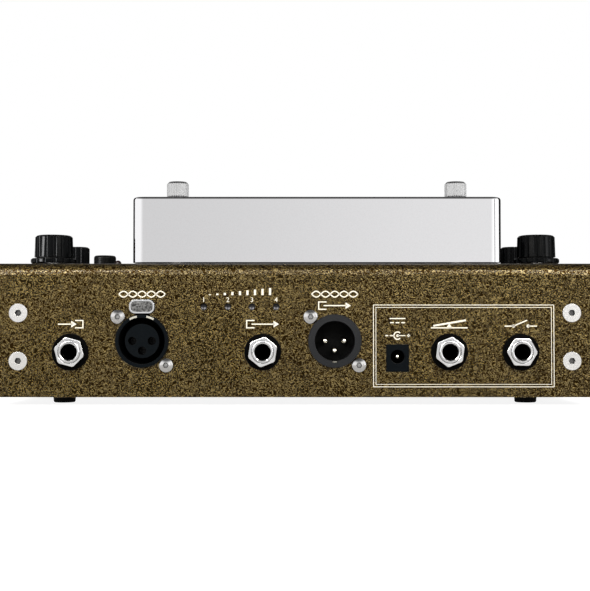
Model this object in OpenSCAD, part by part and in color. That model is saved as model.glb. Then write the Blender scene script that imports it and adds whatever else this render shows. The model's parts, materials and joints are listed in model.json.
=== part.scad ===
// Drum delay unit for the floor: a sheet-metal case with its sockets at the rear, knobs and
// footswitches on top, and a magnetic drum under a polished cover.
// Frame: Z is up from the floor, the rear panel faces -Y, and X runs to the right seen from there.
// Sizes are in millimetres. Heights on the panel count from the case's lower edge.

/* [Case] */
// Width over the two end cheeks
case_w = 246; // [244:1:270]
// Depth from the rear panel to the front panel
case_d = 205; // [202:1:230]
// Height without the feet
case_h = 55; // [54:0.5:65]
// Sheet thickness of the shell
sheet_t = 2; // [1.5:0.1:2.2]
// Outer radius of the two bends of the shell
bend_r = 5; // [3:0.5:7]
// Sheet thickness of the end cheeks
cheek_t = 2; // [1.5:0.1:2.5]
// Width of the flanges turned in on the end cheeks
flange_w = 17; // [15:0.5:18]
// Thickness of the base plate
base_t = 1.5; // [1:0.1:2]
// Distance of the end screws from the ends of the case
end_screw_inset = 9.5; // [8:0.5:12]
// Height of the lower end screws
end_screw_low = 14.8; // [12:0.1:17]
// Distance between the lower and upper end screws
end_screw_pitch = 19.7; // [16:0.1:24]
// Thread diameter of the end screws
end_screw_d = 4; // [3:0.5:5]
// Head diameter of the end screws
end_screw_head_d = 7.5; // [6.6:0.1:9]
// Diameter of a rubber foot
foot_d = 9.8; // [9:0.1:14]
// Height of a rubber foot
foot_h = 3.4; // [3:0.1:8]
// Distance of the feet from the ends of the case
foot_side = 24.1; // [24:0.1:33]
// Distance of the feet from the rear and front panels
foot_inset = 25; // [18:0.5:30]

/* [Jacks] */
// Height of the jacks
jack_z = 18.5; // [16:0.1:20]
// Distance of the input jack from the left end of the case
input_jack_side = 31; // [29:0.1:35]
// Distance of the bypass jack from the right end of the case
bypass_jack_side = 30.5; // [29:0.1:35]
// Place of the output jack on the way from the input jack to the bypass jack
output_jack_way = 0.4271; // [0.418:0.0001:0.438]
// Place of the expression jack on that way
expression_jack_way = 0.8412; // [0.825:0.0001:0.856]
// Bore for a 6.35 mm plug
jack_bore_d = 6.5; // [6.4:0.05:6.6]
// Diameter of the threaded bush
jack_bush_d = 9; // [8.4:0.1:9.5]
// How far the bush stands out of the panel
jack_bush_out = 4.2; // [4:0.1:6]
// Width and height of the jack's housing
jack_body_w = 15; // [13:0.5:16]
// Diameter of the black washer
jack_washer_d = 15; // [14:0.1:17]
// Thickness of the black washer
jack_washer_t = 1; // [0.6:0.1:1.2]
// Width across the flats of the nut
jack_nut_flats = 11; // [10.6:0.1:12]
// Thickness of the nut
jack_nut_t = 2.4; // [1.8:0.1:2.6]

/* [Three-pole sockets] */
// Height of both sockets
xlr_z = 23; // [22:0.1:26]
// Place of the female input socket on the way from the input jack to the bypass jack
xlr_input_way = 0.1588; // [0.142:0.0001:0.173]
// Place of the male output socket on that way
xlr_output_way = 0.587; // [0.58:0.0001:0.59]
// Outer diameter of the barrels
xlr_d = 21.7; // [21:0.1:22.4]
// How far the barrels stand out of the panel
xlr_out = 1.2; // [0.6:0.1:2]
// Width of the flanges behind the panel
xlr_flange_w = 26; // [25.5:0.1:28]
// Thickness of the flanges
xlr_flange_t = 2.5; // [2:0.1:3]
// Distance between the two screws of a socket, across and up
xlr_screw_pitch = 19.8; // [19:0.1:20.4]
// Diameter of the female insert
xlr_insert_d = 14; // [13.6:0.1:14.6]
// Wall of the female barrel
xlr_rim = 1.35; // [1.2:0.05:1.6]
// Diameter of the recess of the male socket
xlr_cup_d = 16.5; // [16:0.1:17]
// Diameter of a pin
xlr_pin_d = 2.4; // [2:0.1:2.6]
// Radius of the circle that the pins stand on
xlr_pin_r = 4; // [3.8:0.1:4.2]
// Width of the push tab
latch_w = 10.3; // [9:0.1:11]
// Height of the push tab
latch_h = 5.6; // [5:0.1:5.8]
// Height of the push tab over the middle of the socket
latch_up = 14.1; // [14.1:0.1:14.6]
// Travel of the push tab
latch_travel = 1.5; // [0.8:0.1:1.5]

/* [Power socket] */
// Place of the power socket on the way from the input jack to the bypass jack
dc_way = 0.7263; // [0.716:0.0001:0.742]
// Height of the middle of the power socket
dc_z = 16; // [14:0.1:18]
// Width of its face
dc_w = 9.2; // [9:0.1:10]
// Height of its face
dc_h = 11.1; // [10:0.1:12]
// Diameter of its hole
dc_hole_d = 5.7; // [5.4:0.1:6.4]
// Diameter of its centre pin
dc_pin_d = 2.1; // [1.9:0.1:2.5]

/* [Trimmers] */
// Place of the middle of the row on the way from the input jack to the bypass jack
trim_way = 0.3762; // [0.37:0.0001:0.384]
// Distance between trimmers
trim_pitch = 9.9; // [9:0.1:10.4]
// Height of the trimmers
trim_z = 37; // [36:0.1:40]
// Diameter of a trimmer shaft
trim_shaft_d = 2.2; // [2:0.1:2.4]
// Diameter of the holes in the panel
trim_hole_d = 2.8; // [2.8:0.1:3.4]

/* [Knobs] */
// Distance of the large knobs from the ends of the case
large_knob_side = 17; // [15:0.1:19]
// Distance of the large knobs from the rear panel
large_knob_back = 36; // [35.5:0.5:42]
// Grip diameter of a large knob
large_knob_d = 16.8; // [15:0.1:18]
// Rim diameter of a large knob
large_rim_d = 20; // [19:0.1:22]
// Height of a large knob's top over the case
large_knob_h = 14; // [13.5:0.1:18]
// Distance of the small knobs from the ends of the case
small_knob_side = 17; // [15:0.1:19]
// Distance of the small knobs from the rear panel
small_knob_back = 93; // [88:0.5:110]
// Diameter of a small knob
small_knob_d = 12; // [11:0.1:14]
// Height of a small knob's top over the case
small_knob_h = 12.7; // [12.2:0.1:16]
// Gap between the case and the underside of a knob
knob_lift = 1.7; // [1.6:0.1:3]
// Diameter of a shaft
shaft_d = 6; // [5:0.1:6]
// Diameter of a potentiometer
pot_d = 16.5; // [15:0.1:17]
// Depth of a potentiometer under the case top
pot_h = 8.5; // [8:0.1:12]

/* [Footswitches and lamps] */
// Distance of the footswitches from the ends of the case
footswitch_side = 17; // [16:0.1:23]
// Distance of the footswitches from the front panel
footswitch_front = 25; // [21:0.5:45]
// Diameter of a footswitch cap
cap_d = 12.2; // [11:0.1:15]
// Height of a cap's top over the case
cap_h = 13.9; // [13:0.1:18]
// Travel of a footswitch
switch_travel = 3; // [1:0.1:3]
// Diameter of a footswitch bush
switch_bush_d = 12; // [10.5:0.1:12]
// Place of the left lamp on the way from the cover to the large knob
lamp_way = 0.348; // [0.31:0.001:0.38]
// Distance of the left lamp from the rear panel
lamp_back = 40; // [38:0.5:44]
// Distance of the right lamp in front of the cover
right_lamp_gap = 10; // [8:0.5:20]
// Distance of the right lamp from the line of the cover's right side
right_lamp_in = 9; // [7:0.1:12]
// Diameter of a lamp
lamp_d = 3; // [2.6:0.1:3.2]
// Height of a lamp's top over the case
lamp_h = 3.3; // [3:0.1:4]

/* [Drum cover] */
// Width of the cover
cover_w = 156.8; // [152:0.1:158]
// Depth of the cover
cover_d = 125; // [122:0.5:140]
// Height of the cover
cover_h = 27.8; // [27.4:0.1:40]
// Sheet thickness of the cover
cover_t = 1; // [0.8:0.1:1.1]
// Gap between the cover's lower edge and the case
cover_gap = 1.2; // [0.3:0.1:1.5]
// Radius of the upright edges
cover_corner_r = 5; // [4:0.5:8]
// Radius of the top edges
cover_edge_r = 1.3; // [1.3:0.1:3.5]
// Share of the free width between the large knobs that lies left of the cover
cover_way = 0.767; // [0.72:0.001:0.78]
// Distance of the posts from the cover's middle
post_x = 60.2; // [60:0.1:62]
// Distance of the posts from the cover's rear and front walls
post_inset = 13; // [12:0.5:14]
// Diameter of a post
post_d = 7; // [6:0.1:7]
// Head diameter of a thumb screw
thumb_d = 9.5; // [8.5:0.1:12]
// Head height of a thumb screw
thumb_h = 6.7; // [5:0.1:9]
// Neck height of a thumb screw
thumb_neck_h = 0.9; // [0.8:0.1:4]

/* [Drum and drive] */
// Distance of the drum's axis from the rear panel
drum_back = 77.5; // [76:0.5:80.5]
// Diameter of the drum
drum_d = 90; // [86:0.5:91]
// Height of the drum's rim
rim_h = 16.5; // [14:0.1:17]
// Diameter of the drum's belt pulley
pulley_d = 40; // [30:0.5:50]
// Diameter of the motor's pulley
motor_pulley_d = 10; // [8:0.5:11]
// Diameter of the motor
motor_d = 24; // [20:0.5:25]
// Length of the motor
motor_l = 28; // [20:0.5:30]
// Direction of the motor seen from the drum, in degrees
motor_angle = -45; // [-48:1:-42]
// Width of the belt
belt_w = 3; // [2:0.1:3]
// Thickness of the belt
belt_t = 0.8; // [0.6:0.1:1]
// Diameter of the spindle
spindle_d = 6; // [5:0.1:8]
// Width of a magnetic head
head_w = 9; // [7:0.1:11]
// Length of a magnetic head from the drum outwards
head_l = 10; // [9:0.1:11]
// Height of a magnetic head
head_h = 12; // [9:0.1:13]
// Gap between a head and the drum
head_gap = 0.3; // [0.2:0.05:0.6]
// Thickness of the deck plate
deck_t = 2; // [1.5:0.1:3]

/* [Boards] */
// Distance of the connector board from the ends of the case
connector_side = 21; // [20:0.5:24]
// Height of the connector board's lower edge
connector_low = 6; // [5:0.1:7]
// Height of the connector board
connector_h = 38; // [36.5:0.1:38]
// Distance of the main board from the ends of the case
main_side = 25; // [24:0.5:28]
// Distance of the main board from the rear panel
main_back = 30; // [28:0.5:31]
// Depth of the main board
main_d = 130; // [120:1:135]
// Distance of the connector board from the outside of the rear panel
board_back = 24; // [22:0.1:24.5]
// Thickness of both boards
board_t = 1.6; // [1.2:0.1:2]
// Height of the bosses under the main board
boss_h = 6; // [4:0.1:7]

/* [Fits] */
// Radial gap of a part that is pushed through a hole
fit_gap = 0.1; // [0.05:0.01:0.15]
// Radial gap of a part that turns or slides in a bore
run_gap = 0.05; // [0.03:0.01:0.08]
// Radial gap of a part that is fixed on another
press_gap = 0.02; // [0.01:0.01:0.03]
// Gap around the parts that move past the sheet
free_gap = 0.3; // [0.25:0.05:0.4]

/* [Hidden] */
$fn = 48;
// Lower edge and top of the case
case_z = foot_h;
top_z = foot_h + case_h;
// Outside of the rear panel: the whole, with its jack bushes, stays centred on the origin
rear_y = (jack_bush_out - case_d) / 2;
// Places across the case, the sockets spread over the way between the two end jacks
foot_x = case_w / 2 - foot_side;
input_jack_x = -case_w / 2 + input_jack_side;
bypass_jack_x = case_w / 2 - bypass_jack_side;
function on_row(way) = input_jack_x + way * (bypass_jack_x - input_jack_x);
output_jack_x = on_row(output_jack_way);
expression_jack_x = on_row(expression_jack_way);
xlr_input_x = on_row(xlr_input_way);
xlr_output_x = on_row(xlr_output_way);
dc_x = on_row(dc_way);
trim_x = on_row(trim_way);
large_knob_x = case_w / 2 - large_knob_side;
small_knob_x = case_w / 2 - small_knob_side;
footswitch_x = case_w / 2 - footswitch_side;
// Edges of the cover, between the rims of the large knobs
knob_reach = large_knob_x - large_rim_d / 2;
cover_left = -knob_reach + cover_way * (2 * knob_reach - cover_w);
cover_right = cover_left + cover_w;
cover_x = (cover_left + cover_right) / 2;
jack_places = [input_jack_x, output_jack_x, expression_jack_x, bypass_jack_x];
// Each nut was tightened to a stop of its own
jack_nut_turns = [-15, 21.5, 22.5, -1.5];
end_screw_x = case_w / 2 - end_screw_inset;
end_screw_len = 9;
end_cone_h = (end_screw_head_d - end_screw_d) / 2;
// Seam between the rear panel and the shell, from the outside of the rear panel
seam_back = bend_r + 2;
// Screws of the base into the cheeks
base_screw_x = case_w / 2 - cheek_t - flange_w / 2;
base_screw_d = 3;
base_places = [35, case_d / 2, case_d - 35];
// Bosses of the main board
boss_in = 10;
boss_x = case_w / 2 - main_side - boss_in;
boss_places = [main_back + boss_in, main_back + main_d - boss_in];
board_screw_d = 2.5;
main_board_z = case_z + base_t + boss_h;
// Pole angles of the two three-pole sockets, seen from outside
pole_angles = [180, 0, 270];
xlr_floor = 16;
xlr_cup_depth = 14;
xlr_low = 15.5;
latch_t = 1.5;
latch_r = 0.43 * latch_h;
latch_stem_w = 5;
latch_stem_h = 2;
latch_sink = 0.3;
dc_up = 0.57;
dc_depth = 15;
trim_body_d = 7;
trim_body_l = 6;
// Potentiometer bush and nut
pot_bush_d = shaft_d + 1.1;
pot_nut_t = 1.2;
pot_nut_flats = 10;
pot_bush_h = pot_nut_t + 0.2;
knob_bore_top = 10;
switch_w = 17;
switch_l = 20;
switch_nut_t = 2.4;
switch_bush_h = switch_nut_t + 0.8;
switch_nut_flats = 15;
plunger_d = 8;
cap_low = switch_bush_h + switch_travel + 0.4;
lamp_bezel_d = 6;
// Cover heights over the case top
cover_top = cover_gap + cover_h;
post_top = cover_top - cover_t;
thumb_shank_d = 4;
thumb_shank_l = 12;
post_nut_t = 3.2;
deck_low = -sheet_t - deck_t;
// Drum heights over the case top
hub_low = 0.2;
flange_pulley_t = 0.7;
belt_low = hub_low + flange_pulley_t + free_gap;
pulley_top = belt_low + belt_w + free_gap + flange_pulley_t;
rim_low = pulley_top + 0.3;
rim_top = rim_low + rim_h;
rim_mid = (rim_low + rim_top) / 2;
drum_r = drum_d / 2;
rim_t = 4;
web_t = 4;
hub_r = spindle_d / 2 + 6;
belt_gap = 0.1;
motor_shift = drum_r + 3 + motor_pulley_d / 2 + 1;
motor_shaft_d = 2.5;
bearing_d = spindle_d + 6;
bearing_l = 20;
head_angles = [0, 45, 90, 135, 180, 225];
bracket_in = 1.5;
bracket_l = 7.5;
bracket_w = 8;
bracket_t = 2;
// Opening of the case top for the drum and its brackets, and the deck plate that closes it below
opening_half = drum_r + bracket_in + bracket_l + 1.4;
opening_r = 6;
deck_lap = 3.1;
deck_margin = 7;
post_y = cover_d / 2 - post_inset;
deck_half_x = post_x + deck_margin;
deck_half_y = max(opening_half + deck_lap, post_y + deck_margin);
// Rows of chips and capacitors on the main board
chip_columns = [-70, -45, -20];
chip_rows = [30, 55, 80];
small_can_columns = [-62, -34];
small_can_rows = [42, 68, 92];
large_can_columns = [20, 34, 48];
large_can_row = 100;

// Places a piece on the rear panel: its Z points out of the panel, its Y is up.
module at_rear(x, z) {
  translate([x, rear_y, case_z + z]) rotate([90, 0, 0]) children();
}

// Places a piece on the case top: its Z is up and starts at the top face.
module at_top(x, back) {
  translate([x, rear_y + back, top_z]) children();
}

// Places a piece on the drum's axis, over the case top.
module at_drum() {
  at_top(cover_x, drum_back) children();
}

// Places the pieces of both rows of end screws, in the rear panel and in the front panel.
module at_end_screws() {
  for (x = [-end_screw_x, end_screw_x], z = [0, end_screw_pitch]) {
    at_rear(x, end_screw_low + z) children();
    translate([x, rear_y + case_d, case_z + end_screw_low + z]) rotate([-90, 0, 0]) children();
  }
}

// A rod of diameter d from height low to height high.
module rod(d, low, high) {
  translate([0, 0, low]) cylinder(d = d, h = high - low);
}

// A hexagonal rod, given across the flats.
module hex_rod(flats, low, high) {
  translate([0, 0, low]) cylinder(d = flats / cos(30), h = high - low, $fn = 6);
}

// A flat outline with round corners.
module round_rect(w, h, r) {
  square([w - 2 * r, h], center = true);
  square([w, h - 2 * r], center = true);
  for (x = [-1, 1], y = [-1, 1]) translate([x * (w / 2 - r), y * (h / 2 - r)]) circle(r);
}

// The same outline raised to a slab.
module round_slab(w, h, r, low, high) {
  translate([0, 0, low]) linear_extrude(high - low) round_rect(w, h, r);
}

// A block centred on X and Y.
module block(w, h, low, high) {
  translate([-w / 2, -h / 2, low]) cube([w, h, high - low]);
}

// A nut with its outer corners turned off.
module nut(flats, thread_d, low, high) {
  difference() {
    intersection() {
      hex_rod(flats, low, high);
      translate([0, 0, low]) cylinder(d1 = flats * 1.3, d2 = flats * 1.1, h = high - low);
    }
    rod(thread_d + 2 * fit_gap, low - 1, high + 1);
  }
}

// A pan-head screw: the head stands on height 0, the thread goes down.
module pan_screw(d, head_d, head_h, len) {
  difference() {
    union() {
      rod(d, -len, 0);
      intersection() {
        rod(head_d, 0, head_h);
        translate([0, 0, head_h - head_d * 0.75]) sphere(r = head_d * 0.75);
      }
    }
    hex_rod(head_d * 0.38, head_h * 0.4, head_h + 1);
  }
}

// The case in section, from the rear panel to the front panel, moved in by inset.
module case_profile(inset) {
  r = bend_r - inset;
  long = case_d - 2 * inset;
  high = case_h - inset;
  translate([inset, 0]) square([long, high - r]);
  translate([inset + r, 0]) square([long - 2 * r, high]);
  translate([inset + r, high - r]) circle(r);
  translate([inset + long - r, high - r]) circle(r);
}

// Stands a section of the case up from X = low over a given length.
module case_section(low, len) {
  translate([low, rear_y, case_z]) rotate([90, 0, 90]) linear_extrude(len) children();
}

module panel_hole(d) {
  rod(d, -sheet_t - 1, 1);
}

// Holes of the rear panel.
module rear_holes() {
  for (x = jack_places) at_rear(x, jack_z) panel_hole(jack_bush_d + 2 * fit_gap);
  for (x = [xlr_input_x, xlr_output_x]) at_rear(x, xlr_z) {
    panel_hole(xlr_d + 2 * fit_gap);
    xlr_screw_places() panel_hole(3 + 2 * fit_gap);
  }
  // The push tab's cut-out runs into the round one through a neck
  at_rear(xlr_input_x, xlr_z + latch_up) {
    round_slab(latch_w + 2 * free_gap, latch_h + 2 * free_gap, latch_r + free_gap, -sheet_t - 1, 1);
    translate([0, -latch_up / 2, 0]) block(latch_stem_w + 2 * free_gap, latch_up, -sheet_t - 1, 1);
  }
  at_rear(dc_x, dc_z) block(dc_w + 2 * fit_gap, dc_h + 2 * fit_gap, -sheet_t - 1, 1);
  trimmer_places() panel_hole(trim_hole_d);
}

// Holes of the case top.
module top_holes() {
  pot_places() panel_hole(pot_bush_d + 2 * fit_gap);
  switch_places() panel_hole(switch_bush_d + 2 * fit_gap);
  lamp_places() panel_hole(lamp_d + 1.2 + 2 * fit_gap);
  post_places() panel_hole(thumb_shank_d + 2 * fit_gap);
  at_drum() round_slab(2 * opening_half, 2 * opening_half, opening_r, -sheet_t - 1, 1);
}

module xlr_screw_places() {
  for (s = [-1, 1]) translate([s * xlr_screw_pitch / 2, -s * xlr_screw_pitch / 2, 0]) children();
}

module pole_places() {
  for (a = pole_angles) rotate(a) translate([xlr_pin_r, 0, 0]) children();
}

module trimmer_places() {
  for (i = [0 : 3]) at_rear(trim_x + (i - 1.5) * trim_pitch, trim_z) children();
}

module pot_places() {
  for (s = [-1, 1]) {
    at_top(s * large_knob_x, large_knob_back) children();
    at_top(s * small_knob_x, small_knob_back) children();
  }
}

module switch_places() {
  for (s = [-1, 1]) at_switch(s) children();
}

module at_switch(s) {
  at_top(s * footswitch_x, case_d - footswitch_front) children();
}

module lamp_places() {
  at_top(cover_left - lamp_way * (cover_left + knob_reach), lamp_back) children();
  at_top(cover_right - right_lamp_in, drum_back + cover_d / 2 + right_lamp_gap) children();
}

module post_places() {
  for (s = [-1, 1], t = [-1, 1]) post_place(s, t) children();
}

module post_place(s, t) {
  at_top(cover_x + s * post_x, drum_back + t * post_y) children();
}

module foot_places() {
  for (s = [-1, 1], back = [foot_inset, case_d - foot_inset])
    translate([s * foot_x, rear_y + back, 0]) children();
}

module base_screw_places() {
  for (s = [-1, 1], back = base_places)
    translate([s * base_screw_x, rear_y + back, case_z]) children();
}

module boss_places_on_base() {
  for (x = [-boss_x, 0, boss_x], back = boss_places)
    translate([x, rear_y + back, case_z + base_t]) children();
}

// The sheet of the case in section, open at the bottom.
module sheet_profile() {
  difference() {
    case_profile(0);
    case_profile(sheet_t);
    translate([sheet_t, -1]) square([case_d - 2 * sheet_t, 2]);
  }
}

// Countersunk holes of the end screws.
module end_screw_holes() {
  at_end_screws() {
    panel_hole(end_screw_d + 2 * fit_gap);
    rod(end_screw_head_d + 2 * fit_gap, -0.2, 1);
    translate([0, 0, -0.2 - end_cone_h])
      cylinder(d1 = end_screw_d + 2 * fit_gap, d2 = end_screw_head_d + 2 * fit_gap, h = end_cone_h);
  }
}

// Rear panel, bent over at its top edge as far as the seam with the shell.
module rear_panel() {
  color([0.31, 0.25, 0.14])
  difference() {
    case_section(-case_w / 2, case_w) intersection() {
      sheet_profile();
      square([seam_back, case_h + 1]);
    }
    rear_holes();
    end_screw_holes();
  }
}

// Top and front panel folded from one sheet.
module case_shell() {
  color([0.31, 0.25, 0.14])
  difference() {
    case_section(-case_w / 2, case_w) difference() {
      sheet_profile();
      translate([-1, -1]) square([1 + seam_back + fit_gap, case_h + 2]);
    }
    top_holes();
    end_screw_holes();
  }
}

// An end cheek with flanges behind the rear and front panels and over the base plate.
module cheek(side) {
  flange_x = side > 0 ? case_w / 2 - cheek_t - flange_w : -case_w / 2 + cheek_t;
  deep = case_d - 2 * sheet_t;
  difference() {
    union() {
      case_section(side > 0 ? case_w / 2 - cheek_t : -case_w / 2, cheek_t)
        case_profile(sheet_t + fit_gap);
      translate([flange_x, rear_y + sheet_t, case_z + base_t]) {
        cube([flange_w, cheek_t, case_h - base_t - bend_r - 2]);
        translate([0, deep - cheek_t, 0]) cube([flange_w, cheek_t, case_h - base_t - bend_r - 2]);
        cube([flange_w, deep, cheek_t]);
      }
      for (z = [0, end_screw_pitch], back = [sheet_t + cheek_t - 0.5, case_d - sheet_t - cheek_t - 2.5])
        translate([side * end_screw_x, rear_y + back, case_z + end_screw_low + z])
          rotate([-90, 0, 0]) cylinder(d = end_screw_d + 3.5, h = 3);
    }
    at_end_screws() rod(end_screw_d + 2 * fit_gap, -20, 1);
    base_screw_places() rod(base_screw_d + 2 * fit_gap, -1, 12);
  }
}

module left_cheek() {
  color([0.30, 0.24, 0.14]) cheek(-1);
}

module right_cheek() {
  color([0.30, 0.24, 0.14]) cheek(1);
}

module base_plate() {
  inside = sheet_t + fit_gap;
  color([0.24, 0.24, 0.25])
  difference() {
    union() {
      translate([-case_w / 2 + cheek_t + fit_gap, rear_y + inside, case_z])
        cube([case_w - 2 * cheek_t - 2 * fit_gap, case_d - 2 * inside, base_t]);
      boss_places_on_base() rod(6, -0.5, boss_h);
    }
    boss_places_on_base() rod(board_screw_d + 2 * fit_gap, boss_h - 4.5, boss_h + 1);
    foot_places() rod(base_screw_d + 2 * fit_gap, 0, case_z + base_t + 1);
    base_screw_places() {
      rod(base_screw_d + 2 * fit_gap, -1, base_t + 1);
      translate([0, 0, -0.01]) cylinder(d1 = 5.4, d2 = base_screw_d + 2 * fit_gap, h = 1.1);
    }
  }
}

module rubber_feet() {
  color([0.05, 0.05, 0.05])
  foot_places() rotate_extrude() polygon([
    [base_screw_d / 2 + fit_gap, foot_h],
    [base_screw_d / 2 + fit_gap, 2],
    [3.1, 2],
    [3.1, 0],
    [foot_d / 2 - 0.7, 0],
    [foot_d / 2 - 0.3, 0.4],
    [foot_d / 2, foot_h]
  ]);
}

// Countersunk socket screws of the rear and front panels.
module case_screws() {
  color([0.75, 0.75, 0.76])
  at_end_screws() difference() {
    union() {
      rod(end_screw_d, -end_screw_len, -end_cone_h);
      translate([0, 0, -0.2 - end_cone_h])
        cylinder(d1 = end_screw_d, d2 = end_screw_head_d, h = end_cone_h);
      rod(end_screw_head_d, -0.2, 0);
    }
    hex_rod(2.5, -1.7, 1);
  }
}

// Screws of the base plate and of the feet.
module base_screws() {
  color([0.7, 0.7, 0.71]) {
    base_screw_places() difference() {
      union() {
        rod(base_screw_d, 0.9, base_t + cheek_t + 3);
        cylinder(d1 = 5.1, d2 = base_screw_d, h = 1);
      }
      hex_rod(2, -1, 0.8);
    }
    foot_places() translate([0, 0, 2]) mirror([0, 0, 1])
      pan_screw(base_screw_d, 5.6, 1.6, foot_h - 2 + base_t + 3);
  }
}

// Flange behind the panel and barrel through it, for either three-pole socket.
module xlr_body(high) {
  translate([0, (high - xlr_low) / 2, 0])
    round_slab(xlr_flange_w, high + xlr_low, 2, -sheet_t - xlr_flange_t, -sheet_t);
  rod(xlr_d, -board_back, xlr_out);
}

module xlr_input_shell() {
  color([0.07, 0.07, 0.08])
  at_rear(xlr_input_x, xlr_z) difference() {
    xlr_body(latch_up + latch_h / 2 + 1.5);
    rod(xlr_d - 2 * xlr_rim, -xlr_floor, xlr_out + 1);
    pole_places() rod(1.2, -board_back - 1, -xlr_floor + 1);
    xlr_screw_places() rod(3 + 2 * fit_gap, -board_back, 1);
    translate([0, latch_up, 0])
      block(latch_stem_w + 2 * free_gap, latch_stem_h + 2 * free_gap, -board_back, 0);
  }
}

module xlr_input_insert() {
  color([0.09, 0.09, 0.10])
  at_rear(xlr_input_x, xlr_z) difference() {
    rod(xlr_insert_d, -xlr_floor, -0.4);
    pole_places() rod(xlr_pin_d + 1.1, -xlr_floor - 1, 0);
  }
}

// Push tab over the female socket, with the stem that reaches the catch.
module xlr_input_latch() {
  color([0.78, 0.78, 0.80])
  at_rear(xlr_input_x, xlr_z + latch_up) {
    round_slab(latch_w, latch_h, latch_r, -latch_sink, -latch_sink + latch_t);
    block(latch_stem_w, latch_stem_h, -sheet_t - xlr_flange_t - 1.5, -latch_sink);
  }
}

module xlr_input_contacts() {
  color([0.80, 0.72, 0.45])
  at_rear(xlr_input_x, xlr_z) {
    pole_places() difference() {
      union() {
        rod(xlr_pin_d + 1, -xlr_floor, -6);
        rod(1, -board_back, -xlr_floor);
      }
      rod(xlr_pin_d + 0.1, -xlr_floor + 2, 0);
    }
    for (a = [61, 101]) rotate(a) translate([0, 0, xlr_out]) rotate_extrude(angle = 18)
      translate([xlr_d / 2 - 1.1, 0]) square([0.8, 0.25]);
  }
}

module xlr_output_shell() {
  color([0.16, 0.16, 0.18])
  at_rear(xlr_output_x, xlr_z) difference() {
    xlr_body(xlr_low);
    rod(xlr_cup_d, -xlr_cup_depth, xlr_out + 1);
    pole_places() rod(xlr_pin_d + 2 * press_gap, -board_back - 1, -xlr_cup_depth + 1);
    xlr_screw_places() rod(3 + 2 * fit_gap, -board_back, 1);
    translate([0, -xlr_cup_d / 2, 0]) block(2.2, 1.4, -9, xlr_out + 1);
  }
}

// A round-nosed pin from the connector board to its tip.
module pin(d, tip) {
  rod(d, -board_back, tip - d / 2);
  translate([0, 0, tip - d / 2]) sphere(d = d);
}

// Pins of the male socket, the earth contact in the wall of its recess, and the power socket's pin.
module socket_pins() {
  color([0.82, 0.80, 0.74]) {
    at_rear(xlr_output_x, xlr_z) {
      pole_places() pin(xlr_pin_d, -1);
      translate([0, -xlr_cup_d / 2 - 0.35, 0]) block(1.8, 0.5, -9, 0.2);
    }
    at_rear(dc_x, dc_z + dc_up) pin(dc_pin_d, -0.8);
  }
}

// Button-head screws of the sockets, and the screws of the main board, motor and head brackets.
module small_screws() {
  color([0.72, 0.72, 0.73]) {
    for (x = [xlr_input_x, xlr_output_x]) at_rear(x, xlr_z)
      xlr_screw_places() pan_screw(3, 5.7, 1.7, sheet_t + xlr_flange_t + 3);
    boss_places_on_base() translate([0, 0, boss_h + board_t]) pan_screw(board_screw_d, 4.6, 1.4, board_t + 4);
    at_motor() motor_screw_places() translate([0, 0, -sheet_t])
      pan_screw(board_screw_d, 4.4, 1.2, deck_t + 3);
    bracket_screw_places() pan_screw(board_screw_d, 4, 1.2, bracket_t + deck_t + 1);
  }
}

module jack_bodies() {
  color([0.08, 0.08, 0.09])
  for (x = jack_places) at_rear(x, jack_z) difference() {
    block(jack_body_w, jack_body_w, -board_back, -sheet_t);
    rod(jack_bore_d, -board_back + 2, 0);
    rod(jack_bush_d + 2 * press_gap, -sheet_t - 4, 0);
  }
}

// Threaded bushes of the jacks, their outer ends turned round.
module jack_bushes() {
  in_r = jack_bore_d / 2;
  out_r = jack_bush_d / 2;
  color([0.70, 0.70, 0.71])
  for (x = jack_places) at_rear(x, jack_z) rotate_extrude() polygon([
    [in_r, -sheet_t - 4],
    [out_r, -sheet_t - 4],
    [out_r, jack_bush_out - 0.7],
    [out_r - 0.2, jack_bush_out - 0.3],
    [out_r - 0.5, jack_bush_out],
    [in_r + 0.5, jack_bush_out],
    [in_r + 0.2, jack_bush_out - 0.2],
    [in_r, jack_bush_out - 0.6]
  ]);
}

module jack_nuts() {
  color([0.80, 0.80, 0.81])
  for (i = [0 : 3]) at_rear(jack_places[i], jack_z) rotate(jack_nut_turns[i])
    nut(jack_nut_flats, jack_bush_d, jack_washer_t, jack_washer_t + jack_nut_t);
}

module jack_washers() {
  color([0.06, 0.06, 0.06])
  for (x = jack_places) at_rear(x, jack_z) difference() {
    rod(jack_washer_d, 0, jack_washer_t);
    rod(jack_bush_d + 2 * fit_gap, -1, jack_washer_t + 1);
  }
}

module dc_socket() {
  color([0.07, 0.07, 0.07])
  at_rear(dc_x, dc_z) difference() {
    block(dc_w, dc_h, -dc_depth, 0.3);
    translate([0, dc_up, 0]) {
      rod(dc_hole_d, -10, 1);
      rod(dc_pin_d + 2 * press_gap, -dc_depth - 1, -9);
    }
  }
}

module trimmer_bodies() {
  color([0.15, 0.25, 0.50])
  trimmer_places() difference() {
    rod(trim_body_d, -board_back, -board_back + trim_body_l);
    rod(trim_shaft_d + 2 * run_gap, -board_back + 2, 0);
  }
}

// Slotted shaft of one trimmer, a little behind the panel's face.
module trimmer(i) {
  color([0.16, 0.16, 0.17])
  at_rear(trim_x + (i - 1.5) * trim_pitch, trim_z) difference() {
    rod(trim_shaft_d, -board_back + 2.1, -0.6);
    block(0.5, trim_shaft_d + 1, -1.4, 0);
  }
}

module trimmer_1() {
  trimmer(0);
}

module trimmer_2() {
  trimmer(1);
}

module trimmer_3() {
  trimmer(2);
}

module trimmer_4() {
  trimmer(3);
}

// Upright board that all the sockets of the rear panel end on.
module connector_board() {
  color([0.08, 0.28, 0.14])
  translate([-case_w / 2 + connector_side, rear_y + board_back, case_z + connector_low])
    cube([case_w - 2 * connector_side, board_t, connector_h]);
}

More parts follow.
